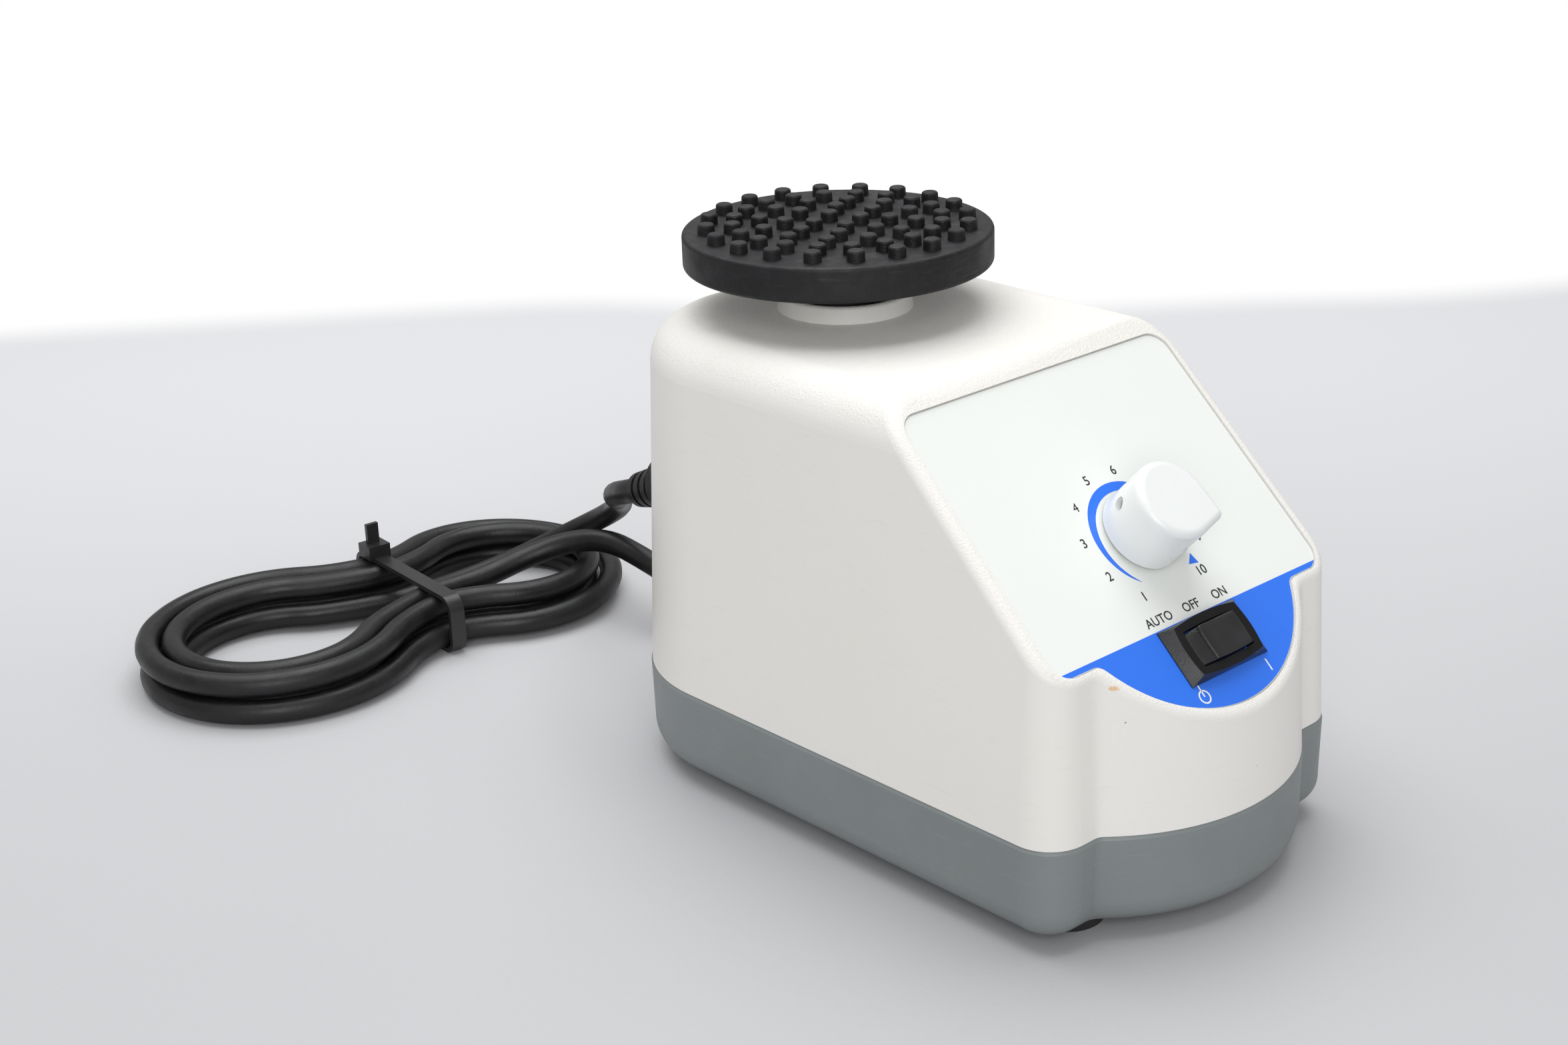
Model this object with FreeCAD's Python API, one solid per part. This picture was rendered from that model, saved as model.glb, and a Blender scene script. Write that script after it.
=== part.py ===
"""Vortex mixer: bench instrument with an orbiting rubber platform, built as separate pieces.

Millimetres. +Z is up, the control panel faces -Y and the origin is the middle of the
footprint at the height of the surface that the feet stand on.
"""
import FreeCAD
import Part
import math
import os

from FreeCAD import Rotation, Vector

# Case: overall sizes
half_width = 51.6
body_back_y = 87.3
shoulder_y = -72.3
nose_reach = 15.0
shoulder_width = 15.4
back_flat_half = 12.8
front_corner_radius = 10.1
notch_radius = 3.0
foot_height = 3.0
base_height = 23.5
case_height = 90.3
case_draft_deg = 2.7
base_draft_deg = 1.1
wall = 3.0
top_edge_radius = 11.0
panel_edge_radius = 2.6
brow_radius = 8.0
base_edge_radius = 7.0
lip_height = 0.9
lip_inset = 0.6
lip_gap = 0.3

# Sloped panel, measured down the slope from its upper reference line
panel_angle_deg = 43.5
panel_ref_y = -10.38
panel_rise = 4.25
panel_border = 0.5
panel_wall = 3.5
overlay_thick = 0.5
overlay_gap = 0.3
overlay_top = 12.5
overlay_shelf = 80.6
overlay_side_top = 7.4
overlay_side_shelf = 5.8
overlay_corner = 5.0
overlay_nose_over = 0.9
overlay_notch_radius = 3.0
overlay_bottom = 101.3

# Head: platform, neck and collar
head_axis_y = 42.5
orbit_radius = 1.5
orbit_angle_deg = 137.0
platform_radius = 38.1
platform_thick = 8.6
platform_rise = 19.9
platform_skin = 3.6
platform_edge = 1.0
nub_radius = 2.2
nub_height = 2.7
nub_round = 0.7
nub_rings = ((6.0, 4, 66.0), (12.7, 8, 3.0), (19.2, 12, 9.0), (25.7, 20, 0.0), (32.1, 20, 0.0))
collar_rise = 4.0
collar_radius = 17.2
collar_rim_radius = 16.4
collar_bore_radius = 15.0
collar_depth = 6.0
neck_radius = 12.8
neck_depth = 13.8

# Motor
shaft_radius = 4.0
shaft_bottom_z = 22.5
bearing_radius = 11.0
bearing_height = 7.0
bracket_thick = 3.0
bracket_hub_radius = 14.0
lower_bracket_z = 30.0
eccentric_drop = 14.0
bracket_drop = 5.0
stator_post_gap = 4.0
stator_depth = 56.0
stator_bottom_z = 44.0
stator_head_room = 10.0
rotor_radius = 16.5
rotor_gap = 0.5
winding_radius = 25.0
winding_height = 7.0
motor_bolt_radius = 2.0
motor_bolt_inset = 9.0
motor_bolt_y = 22.0
spacer_radius = 3.6
post_radius = 3.0
post_inset = 17.6
post_y = 20.0
post_collar_radius = 5.0
press_travel = 1.5
spring_wire_radius = 0.6
spring_turns = 5
eccentric_radius = 9.0
eccentric_height = 12.0
shaft_cover = 3.0
pin_radius = 5.0
pin_height = 17.0
head_bearing_radius = 9.5
head_bearing_height = 7.0
counterweight_radius = 24.0
counterweight_height = 8.0
fan_radius = 15.0
fan_blades = 6

# Controls
dial_s = 56.7
knob_radius = 10.0
knob_height = 14.5
knob_lift = 1.0
knob_tip = 12.6
knob_tip_radius = 1.6
knob_round = 1.8
knob_angle_deg = -35.8
pot_radius = 8.5
pot_depth = 10.0
bushing_radius = 3.5
pot_shaft_radius = 3.0
nut_radius = 6.0
nut_height = 2.2
switch_s = 86.6
bezel_length = 26.5
bezel_width = 14.2
bezel_height = 2.6
bezel_slope = 1.4
switch_body_length = 23.6
switch_body_width = 11.6
switch_depth = 18.0
rocker_length = 16.8
rocker_width = 8.4
rocker_rise = 2.2
rocker_dish = 1.2
rocker_pin_radius = 1.0
rocker_pin_length = 10.4
rocker_skirt = 3.0
rocker_well = 7.5
board_length = 46.0
board_width = 38.0
board_thick = 1.6

# Feet and fasteners
foot_radius = 10.0
front_foot_inset = 20.6
front_foot_y = -58.0
back_foot_inset = 27.6
back_foot_y = 66.0
screw_radius = 2.0
screw_head_radius = 3.6
screw_head_height = 2.6
case_boss_radius = 4.5
case_boss_height = 30.0
boss_inset = 7.8
front_boss_y = -45.0
back_boss_y = 12.0

# Clearances
running = 0.05
fit_gap = 0.1
air_gap = 0.3

# Mains lead
cord_diameter = 6.7
relief_x = -22.0
relief_y = 83.0
relief_z = 65.6
relief_drop_deg = 20.0
relief_out = 18.0
relief_in = 9.0
relief_big_radius = 6.6
relief_small_radius = 4.7
relief_flange_radius = 8.4
relief_flange_reach = 4.5
relief_latch_radius = 7.6
relief_latch = 2.6
relief_bore_gap = 0.2
relief_grooves = 3
relief_groove_step = 3.4
relief_groove_width = 1.2
relief_groove_depth = 0.7

# Hank of the lead on the bench
hank_x = -42.0
hank_y = 186.0
hank_turn_deg = -4.0
hank_left_radius = 40.0
hank_left_reach = 43.0
hank_right_radius = 33.0
hank_right_reach = 32.0
hank_waist_radius = 20.0
hank_turns = 3.5
hank_step = 7.4
hank_layer = 7.4
tie_thick = 1.3
tie_width = 4.6
tie_gap = 0.3
tie_round = 3.2
tie_head_length = 6.5
tie_head_rise = 3.4
tie_head_side = 1.2
tie_head_in = 3.5
tie_end_rise = 6.0
tie_end_side = 0.4

# Route of the lead from the strain relief to the hank, and of the tail from the hank to the plug
lead_straight = 8.0
lead_points = [(-14.5, 121.5, 50.5), (-4.5, 133.5, 43.5), (6.3, 144.6, 36.0), (11.8, 157.5, 28.0),
               (10.9, 171.0, 20.0), (4.0, 182.6, 12.5), (-7.4, 189.8, 7.3)]
lead_last_run = 14.0
tail_first_run = 13.5
tail_points = [(-8.8, 173.4, 15.5), (2.0, 166.0, 19.5), (7.6, 154.0, 21.5), (8.5, 140.0, 19.5),
               (10.5, 126.0, 15.5), (17.5, 115.5, 12.8)]
tail_last_run = 13.5

# Plug
plug_x = 43.5
plug_y = 109.0
plug_tail = 14.0
plug_length = 28.0
plug_width = 26.0
plug_height = 23.0
plug_round = 4.0
plug_tail_small = 1.4
plug_tail_large = 4.0
blade_spacing = 12.7
blade_width = 6.3
blade_thick = 1.5
blade_length = 17.0
blade_lift = 2.0
earth_pin_radius = 2.4
earth_pin_length = 20.0
earth_pin_drop = 6.0

# Derived widths
nose_half_width = half_width - shoulder_width
back_corner_radius = half_width - back_flat_half
overlay_half_top = half_width - overlay_side_top
overlay_half_shelf = half_width - overlay_side_shelf
overlay_nose_radius = nose_half_width + overlay_nose_over
overlay_nose_centre = overlay_bottom - overlay_nose_radius
front_foot = (half_width - front_foot_inset, front_foot_y)
back_foot = (half_width - back_foot_inset, back_foot_y)
front_boss = (half_width - boss_inset, front_boss_y)
back_boss = (half_width - boss_inset, back_boss_y)
post_x = half_width - post_inset
motor_bolt_x = post_x - motor_bolt_inset
stator_width = 2.0 * (post_x - stator_post_gap)

# Derived levels
base_bottom_z = foot_height
parting_z = base_bottom_z + base_height
top_z = parting_z + case_height
platform_top_z = top_z + platform_rise
neck_bottom_z = top_z - neck_depth
panel_ref_z = top_z + panel_rise
eccentric_z = neck_bottom_z - eccentric_drop
upper_bracket_z = eccentric_z - bracket_drop
stator_height = upper_bracket_z - stator_head_room - stator_bottom_z
floor_z = base_bottom_z + wall
case_slope = math.tan(math.radians(case_draft_deg))
base_slope = math.tan(math.radians(base_draft_deg))
nose_radius = (nose_half_width ** 2 + nose_reach ** 2) / (2.0 * nose_reach)
nose_centre_y = shoulder_y - nose_reach + nose_radius
orbit_angle = math.radians(orbit_angle_deg)
head_x = orbit_radius * math.cos(orbit_angle)
head_y = head_axis_y + orbit_radius * math.sin(orbit_angle)
panel_angle = math.radians(panel_angle_deg)
panel_rotation = Rotation(Vector(1, 0, 0), panel_angle_deg)
panel_origin = Vector(0, panel_ref_y, panel_ref_z)
cord_radius = cord_diameter / 2.0
plug_z = plug_height / 2.0
hub_foot_z = lower_bracket_z - 4.0
lower_bearing_z = hub_foot_z + 2.0
upper_bearing_z = upper_bracket_z + bracket_thick - bearing_height
fan_z = lower_bearing_z + bearing_height + 1.5
spring_seat_z = floor_z + 3.0
pin_top_z = eccentric_z + eccentric_height + pin_height
post_top_z = upper_bracket_z + bracket_thick + 6.0
head_bearing_z = neck_bottom_z + 2.0
head_bearing_top_z = head_bearing_z + head_bearing_height
plate_z = platform_top_z - platform_thick + 0.5
plate_top_z = platform_top_z - platform_skin
plate_radius = platform_radius - platform_skin
rocker_pivot = -1.0
knob_screw_level = knob_lift + knob_height * 0.45

# Touch switch under the motor, placed from the foot of the lower bracket
switch_half = 3.4
lever_pin_radius = 0.6
lever_ear = 1.2
lever_thick = 0.6
lever_z = hub_foot_z - air_gap - 0.5
lever_tip_x = bracket_hub_radius - 4.0
lever_x = lever_tip_x + 20.0
switch_x0 = lever_x - 14.0
switch_x1 = lever_x + 6.0
touch_top_z = lever_z - press_travel - 0.8
touch_step_z = touch_top_z - 10.0


def save(shape, node):
    """Write one node and print its volume."""
    shape.exportStep("parts/%s.step" % node)
    facts = (node, len(shape.Solids), shape.Volume, shape.isValid())
    print("%-22s solids %2d volume %10.1f valid %s" % facts)


def cylinder(radius, z0, z1, x=0.0, y=0.0):
    """Upright cylinder between two heights."""
    return Part.makeCylinder(radius, z1 - z0, Vector(x, y, z0))


def tube(outer, inner, z0, z1, x=0.0, y=0.0):
    """Upright ring between two heights."""
    return cylinder(outer, z0, z1, x, y).cut(cylinder(inner, z0 - 1, z1 + 1, x, y))


def block(x0, x1, y0, y1, z0, z1):
    """Box between two corners."""
    return Part.makeBox(x1 - x0, y1 - y0, z1 - z0, Vector(x0, y0, z0))


def prism(radius, sides, z0, z1, x=0.0, y=0.0):
    """Upright prism with a regular outline, such as a nut."""
    points = []
    for i in range(sides + 1):
        turn = 2 * math.pi * i / sides
        points.append(Vector(x + radius * math.cos(turn), y + radius * math.sin(turn), z0))
    face = Part.Face(Part.makePolygon(points))
    return face.extrude(Vector(0, 0, z1 - z0))


def group(shapes):
    """Several separate solids in one node."""
    return Part.makeCompound(shapes)


def on_panel(shape):
    """Carry a shape from panel axes (x, up the slope, out of the panel) to the case."""
    placed = shape.copy()
    placed.Placement = FreeCAD.Placement(panel_origin, panel_rotation).multiply(shape.Placement)
    return placed


def arc_edge(centre, radius, start_deg, end_deg, z):
    """Circular edge in a level plane, drawn from one angle to another."""
    points = []
    for part in (0.0, 0.5, 1.0):
        turn = math.radians(start_deg + (end_deg - start_deg) * part)
        points.append(Vector(centre[0] + radius * math.cos(turn), centre[1] + radius * math.sin(turn), z))
    return Part.Arc(points[0], points[1], points[2]).toShape()


def line_edge(start, end, z):
    """Straight edge in a level plane."""
    return Part.LineSegment(Vector(start[0], start[1], z), Vector(end[0], end[1], z)).toShape()


def case_outline(inset, z):
    """Plan of the case, moved inwards by inset: round back, square shoulders and a bulged nose."""
    back_r = back_corner_radius - inset
    front_r = front_corner_radius - inset
    nose_r = nose_radius - inset
    notch_r = notch_radius + inset
    back_cx = half_width - back_corner_radius
    back_cy = body_back_y - back_corner_radius
    front_cx = half_width - front_corner_radius
    front_cy = shoulder_y + front_corner_radius
    notch_cy = shoulder_y - notch_radius
    reach = nose_radius + notch_radius
    notch_cx = math.sqrt(reach ** 2 - (notch_cy - nose_centre_y) ** 2)
    meet = math.degrees(math.atan2(notch_cy - nose_centre_y, notch_cx))
    w = half_width - inset
    shoulder = shoulder_y + inset
    back = body_back_y - inset

    def side(sign):
        """Edges from the nose to the back, on one side."""
        outward = 0.0 if sign > 0 else 180.0
        notch_start = 180.0 + meet if sign > 0 else -meet
        notch = arc_edge((sign * notch_cx, notch_cy), notch_r, notch_start, 90.0, z)
        shoulder_line = line_edge((sign * notch_cx, shoulder), (sign * front_cx, shoulder), z)
        corner_start = -90.0 if sign > 0 else 270.0
        corner = arc_edge((sign * front_cx, front_cy), front_r, corner_start, outward, z)
        flank = line_edge((sign * w, front_cy), (sign * w, back_cy), z)
        round_back = arc_edge((sign * back_cx, back_cy), back_r, outward, 90.0, z)
        return [notch, shoulder_line, corner, flank, round_back]

    nose = arc_edge((0.0, nose_centre_y), nose_r, -180.0 - meet, meet, z)
    rear = line_edge((-back_cx, back), (back_cx, back), z)
    edges = [nose] + side(1) + [rear] + side(-1)
    return Part.Wire(Part.__sortEdges__(edges))


def tapered(levels):
    """Solid through case outlines given as (inset, z) pairs."""
    return Part.makeLoft([case_outline(inset, z) for inset, z in levels], True, True)


def panel_cutter(lift):
    """Big block that removes everything above the sloped panel plane moved out by lift."""
    reach = 300.0
    cutter = Part.makeBox(2 * reach, 2 * reach, reach, Vector(-reach, -reach, lift))
    return on_panel(cutter)


def edges_between(shape, test):
    """Edges whose middle point passes a test."""
    chosen = []
    for edge in shape.Edges:
        middle = edge.valueAt((edge.FirstParameter + edge.LastParameter) / 2.0)
        if test(middle):
            chosen.append(edge)
    return chosen


def above_panel(point):
    """Height of a point over the panel's reference plane."""
    local = panel_rotation.inverted().multVec(point - panel_origin)
    return local.z


def boss_places():
    """Four corner bosses that join the case to the base."""
    return [(sx * x, y) for x, y in (front_boss, back_boss) for sx in (-1, 1)]


def foot_places():
    """Four feet."""
    return [(sx * x, y) for x, y in (front_foot, back_foot) for sx in (-1, 1)]


def post_places():
    """Four guide posts of the motor carriage."""
    return [(sx * post_x, head_axis_y + sy * post_y) for sx in (-1, 1) for sy in (-1, 1)]


def motor_bolt_places():
    """Four through bolts of the motor."""
    return [(sx * motor_bolt_x, head_axis_y + sy * motor_bolt_y) for sx in (-1, 1) for sy in (-1, 1)]


def relief_direction():
    """Direction in which the lead leaves the back of the case."""
    drop = math.radians(relief_drop_deg)
    return Vector(0, math.cos(drop), -math.sin(drop))


def relief_point(along):
    """Point on the axis of the strain relief, measured out from the back wall."""
    return Vector(relief_x, relief_y, relief_z) + relief_direction() * along


def overlay_outline(grow, lift):
    """Outline of the panel overlay on the panel: a plate with a round apron that fills the nose."""
    top = -overlay_top + grow
    shelf = -overlay_shelf - grow
    corner = overlay_corner + grow
    half_top = overlay_half_top + grow
    half_shelf = overlay_half_shelf + grow
    nose_r = overlay_nose_radius + grow
    nose_y = -overlay_nose_centre
    notch_r = overlay_notch_radius - grow
    notch_y = shelf - notch_r
    notch_x = math.sqrt((nose_r + notch_r) ** 2 - (notch_y - nose_y) ** 2)
    inward = Vector(-notch_x, nose_y - notch_y, 0).normalize()
    halfway = (inward + Vector(0, 1, 0)).normalize()
    notch_mid = (notch_x + notch_r * halfway.x, notch_y + notch_r * halfway.y)
    notch_end = (notch_x + notch_r * inward.x, notch_y + notch_r * inward.y)
    cut = corner * (1 - math.sqrt(0.5))

    def at(x, y):
        return Vector(x, y, lift)

    edges = [Part.LineSegment(at(-half_top + corner, top), at(half_top - corner, top))]
    edges.append(Part.Arc(at(half_top - corner, top), at(half_top - cut, top - cut),
                          at(half_top, top - corner)))
    edges.append(Part.LineSegment(at(half_top, top - corner), at(half_shelf, shelf + corner)))
    edges.append(Part.Arc(at(half_shelf, shelf + corner), at(half_shelf - cut, shelf + cut),
                          at(half_shelf - corner, shelf)))
    edges.append(Part.LineSegment(at(half_shelf - corner, shelf), at(notch_x, shelf)))
    edges.append(Part.Arc(at(notch_x, shelf), at(*notch_mid), at(*notch_end)))
    edges.append(Part.Arc(at(*notch_end), at(0, nose_y - nose_r), at(-notch_end[0], notch_end[1])))
    edges.append(Part.Arc(at(-notch_end[0], notch_end[1]), at(-notch_mid[0], notch_mid[1]),
                          at(-notch_x, shelf)))
    edges.append(Part.LineSegment(at(-notch_x, shelf), at(-half_shelf + corner, shelf)))
    edges.append(Part.Arc(at(-half_shelf + corner, shelf), at(-half_shelf + cut, shelf + cut),
                          at(-half_shelf, shelf + corner)))
    edges.append(Part.LineSegment(at(-half_shelf, shelf + corner), at(-half_top, top - corner)))
    edges.append(Part.Arc(at(-half_top, top - corner), at(-half_top + cut, top - cut),
                          at(-half_top + corner, top)))
    return Part.Face(Part.Wire([edge.toShape() for edge in edges]))


def panel_block(length, width, z0, z1, s):
    """Box on the panel, centred across it, at a distance down the slope."""
    return Part.makeBox(length, width, z1 - z0, Vector(-length / 2.0, -s - width / 2.0, z0))


def panel_cylinder(radius, z0, z1, s):
    """Cylinder that stands out of the panel on its middle line."""
    return Part.makeCylinder(radius, z1 - z0, Vector(0, -s, z0))


def case_solid():
    """Outside of the white case as one solid: drafted walls, sloped panel and rounded edges."""
    shell = tapered([(lip_gap, parting_z), (case_height * case_slope, top_z)])
    shell = shell.cut(panel_cutter(panel_border))
    rim = edges_between(shell, lambda p: abs(p.z - top_z) < 0.01 and above_panel(p) < panel_border - 0.01)
    shell = shell.makeFillet(top_edge_radius, rim)
    return ease_panel(shell)


def ease_panel(shell):
    """Round the edges of the panel: widely at its brow, less at its sides and nose."""
    radii = []
    for number, edge in enumerate(shell.Edges, 1):
        middle = edge.valueAt((edge.FirstParameter + edge.LastParameter) / 2.0)
        if abs(above_panel(middle) - panel_border) > 0.01:
            continue
        start_z = edge.valueAt(edge.FirstParameter).z
        end_z = edge.valueAt(edge.LastParameter).z
        start = brow_radius if start_z > top_z - 0.01 else panel_edge_radius
        end = brow_radius if end_z > top_z - 0.01 else panel_edge_radius
        radii.append((number, start, end))
    document = FreeCAD.newDocument()
    base = document.addObject("Part::Feature")
    base.Shape = shell
    fillet = document.addObject("Part::Fillet")
    fillet.Base = base
    fillet.Edges = radii
    document.recompute()
    eased = fillet.Shape.copy()
    FreeCAD.closeDocument(document.Name)
    return eased


def case_cavity():
    """Hollow of the white case, one wall inside its outside."""
    inner_top = top_z - wall
    eased = top_edge_radius - wall
    shoulder_z = inner_top - eased
    cavity = tapered([(wall + lip_gap, parting_z - 1),
                      (wall + (shoulder_z - parting_z) * case_slope, shoulder_z),
                      (wall + eased + case_height * case_slope, inner_top)])
    return cavity.cut(panel_cutter(panel_border - panel_wall))


def make_upper_housing():
    """White case: drafted shell with a sloped panel, a collar round the neck and four bosses."""
    shell = case_solid()
    collar = Part.makeCone(collar_radius, collar_rim_radius, collar_rise + wall,
                           Vector(0, head_axis_y, top_z - wall))
    collar = collar.makeFillet(0.8, edges_between(collar, lambda p: p.z > top_z + collar_rise - 0.01))
    skirt = cylinder(collar_radius, top_z - collar_depth, top_z - wall / 2.0, 0, head_axis_y)
    shell = shell.cut(case_cavity())
    for x, y in boss_places():
        shell = shell.fuse(cylinder(case_boss_radius, parting_z, parting_z + case_boss_height, x, y))
    shell = shell.fuse([collar, skirt])
    for x, y in boss_places():
        hole_top = parting_z + case_boss_height - 8
        shell = shell.cut(cylinder(screw_radius + fit_gap, parting_z - 1, hole_top, x, y))
    shell = shell.cut(cylinder(collar_bore_radius, top_z - 20, top_z + 20, 0, head_axis_y))
    recess = overlay_outline(overlay_gap, -overlay_thick).extrude(Vector(0, 0, 10))
    shell = shell.cut(on_panel(recess))
    shell = shell.cut(on_panel(panel_cylinder(bushing_radius + fit_gap, -20, 5, dial_s)))
    opening = panel_block(switch_body_length + 2 * fit_gap, switch_body_width + 2 * fit_gap, -20, 5, switch_s)
    shell = shell.cut(on_panel(opening))
    port = Part.makeCylinder(relief_big_radius + fit_gap, 40, relief_point(-20), relief_direction())
    shell = shell.cut(port)
    return shell.removeSplitter()


def make_base_pan():
    """Grey pan with a lipped top edge, rounded bottom edge, bosses and a step for the touch switch."""
    foot_inset = base_height * base_slope
    pan = tapered([(foot_inset, base_bottom_z), (0, parting_z - lip_height), (lip_inset, parting_z)])
    bottom = edges_between(pan, lambda p: abs(p.z - base_bottom_z) < 0.01)
    pan = pan.makeFillet(base_edge_radius, bottom)
    cavity = tapered([(wall + base_height * base_slope, floor_z), (wall + lip_inset, parting_z + 1)])
    pan = pan.cut(cavity)
    pan = pan.fuse([cylinder(case_boss_radius, floor_z - 1, parting_z, x, y) for x, y in boss_places()])
    pan = pan.fuse([cylinder(case_boss_radius, floor_z - 1, floor_z + 5, x, y) for x, y in foot_places()])
    step = block(switch_x0, switch_x1, head_axis_y - switch_half, head_axis_y + switch_half,
                 floor_z - 1, touch_step_z)
    pan = pan.fuse(step)
    for x, y in boss_places():
        pan = pan.cut(cylinder(screw_radius + fit_gap, 0, parting_z + 1, x, y))
        pan = pan.cut(cylinder(screw_head_radius + fit_gap, 0, base_bottom_z + screw_head_height, x, y))
    for x, y in foot_places():
        pan = pan.cut(cylinder(screw_radius + fit_gap, base_bottom_z - 1, floor_z + 3, x, y))
    for x, y in post_places():
        pan = pan.cut(cylinder(post_radius - running, floor_z - 2, floor_z + 1, x, y))
    return pan.removeSplitter()


def make_feet():
    """Four rubber feet with a countersunk screw pocket."""
    feet = []
    for x, y in foot_places():
        foot = Part.makeCone(foot_radius - 0.8, foot_radius, foot_height, Vector(x, y, 0))
        foot = foot.cut(cylinder(screw_radius + fit_gap, -1, foot_height + 1, x, y))
        foot = foot.cut(cylinder(screw_head_radius + fit_gap, -1, foot_height / 2.0, x, y))
        feet.append(foot)
    return group(feet)


def screw(x, y, head_z, tip_z, head_height):
    """Pan screw driven upwards: a drive-slotted head and a plain shank."""
    shank = cylinder(screw_radius, head_z + head_height / 2.0, tip_z, x, y)
    head = cylinder(screw_head_radius, head_z, head_z + head_height, x, y)
    slot = block(x - 2.4, x + 2.4, y - 0.5, y + 0.5, head_z - 1, head_z + 0.7)
    return head.fuse(shank).cut(slot)


def make_foot_screws():
    """Screws that hold the feet."""
    head = foot_height / 2.0 - 0.4
    return group([screw(x, y, 0.4, floor_z + 2, head) for x, y in foot_places()])


def make_case_screws():
    """Screws that hold the case on the base."""
    tip = parting_z + case_boss_height - 12
    lift = base_bottom_z + 0.5
    head = screw_head_height - 0.5
    return group([screw(x, y, lift, tip, head) for x, y in boss_places()])


def make_panel_overlay():
    """Printed overlay plate, set in the panel's recess."""
    plate = overlay_outline(0, -overlay_thick).extrude(Vector(0, 0, overlay_thick))
    plate = plate.cut(panel_cylinder(bushing_radius + fit_gap, -5, 5, dial_s))
    opening = panel_block(switch_body_length + 2 * fit_gap, switch_body_width + 2 * fit_gap, -5, 5, switch_s)
    plate = plate.cut(opening)
    return on_panel(plate)


def bezel_outline(inset, z):
    """Rectangle of the switch bezel, moved inwards by inset."""
    half_x = bezel_length / 2.0 - inset
    half_y = bezel_width / 2.0 - inset
    corners = ((-1, -1), (1, -1), (1, 1), (-1, 1), (-1, -1))
    return Part.makePolygon([Vector(sx * half_x, sy * half_y - switch_s, z) for sx, sy in corners])


def rocker_cylinder(radius, length):
    """Cylinder on the rocker's pivot, along the pivot."""
    start = Vector(0, -switch_s - length / 2.0, rocker_pivot)
    return Part.makeCylinder(radius, length, start, Vector(0, 1, 0))


def make_switch_frame():
    """Rocker switch: sloped bezel on the panel and a body behind it."""
    bezel = Part.makeLoft([bezel_outline(0, 0), bezel_outline(bezel_slope, bezel_height)], True, True)
    body = panel_block(switch_body_length, switch_body_width, -switch_depth, bezel_height / 2.0, switch_s)
    frame = bezel.fuse(body)
    mouth_length = rocker_length + 2 * air_gap
    mouth_width = rocker_width + 2 * air_gap
    frame = frame.cut(panel_block(mouth_length, mouth_width, -rocker_well, bezel_height + 1, switch_s))
    pin_hole = rocker_cylinder(rocker_pin_radius + running, rocker_pin_length + 2 * fit_gap)
    return on_panel(frame.cut(pin_hole))


def make_rocker():
    """Rocker cap with a dished top, round ends and two pivot pins."""
    top = bezel_height + rocker_rise
    cap = panel_block(rocker_length, rocker_width, rocker_pivot - rocker_skirt, top, switch_s)
    cap = cap.common(rocker_cylinder(rocker_length / 2.0, rocker_width))
    span = rocker_length / 2.0
    dish_radius = (span ** 2 + rocker_dish ** 2) / (2 * rocker_dish)
    dish_start = Vector(0, -switch_s - rocker_width, top - rocker_dish + dish_radius)
    cap = cap.cut(Part.makeCylinder(dish_radius, 2 * rocker_width, dish_start, Vector(0, 1, 0)))
    return on_panel(cap.fuse(rocker_cylinder(rocker_pin_radius, rocker_pin_length)))


def make_switch_terminals():
    """Three blade terminals behind the rocker switch."""
    blades = []
    for x in (-7.0, 0.0, 7.0):
        blade = Part.makeBox(0.8, 4.8, 8.0, Vector(x - 0.4, -switch_s - 2.4, -switch_depth - 8.0))
        blades.append(on_panel(blade))
    return group(blades)


def make_potentiometer():
    """Speed potentiometer: can and threaded bushing."""
    back = panel_border - panel_wall
    can = panel_cylinder(pot_radius, back - pot_depth, back, dial_s)
    bushing = panel_cylinder(bushing_radius, back - 1, nut_height + 1.0, dial_s)
    bore = panel_cylinder(pot_shaft_radius + running, back - pot_depth + 1.5, 20, dial_s)
    return on_panel(can.fuse(bushing).cut(bore))


def make_pot_nut():
    """Nut that clamps the potentiometer to the panel."""
    nut = prism(nut_radius, 6, 0, nut_height, 0, -dial_s)
    return on_panel(nut.cut(panel_cylinder(bushing_radius + fit_gap, -1, nut_height + 1, dial_s)))


def make_pot_shaft():
    """Potentiometer spindle, turned by the knob."""
    back = panel_border - panel_wall
    top = knob_lift + knob_height - 3.0
    return on_panel(panel_cylinder(pot_shaft_radius, back - pot_depth + 2.0, top, dial_s))


def knob_outline(z):
    """Round knob drawn out to a blunt pointer."""
    reach = knob_tip - knob_tip_radius
    lean = math.acos((knob_radius - knob_tip_radius) / reach)
    turn = math.radians(knob_angle_deg)

    def at(radius, angle, offset):
        x = offset * math.cos(turn) + radius * math.cos(turn + angle)
        y = offset * math.sin(turn) + radius * math.sin(turn + angle)
        return Vector(x, y - dial_s, z)

    body = Part.Arc(at(knob_radius, lean, 0), at(knob_radius, math.pi, 0), at(knob_radius, -lean, 0))
    lower = Part.LineSegment(at(knob_radius, -lean, 0), at(knob_tip_radius, -lean, reach))
    tip = Part.Arc(at(knob_tip_radius, -lean, reach), at(knob_tip_radius, 0, reach),
                   at(knob_tip_radius, lean, reach))
    upper = Part.LineSegment(at(knob_tip_radius, lean, reach), at(knob_radius, lean, 0))
    return Part.Wire([edge.toShape() for edge in (body, lower, tip, upper)])


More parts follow.
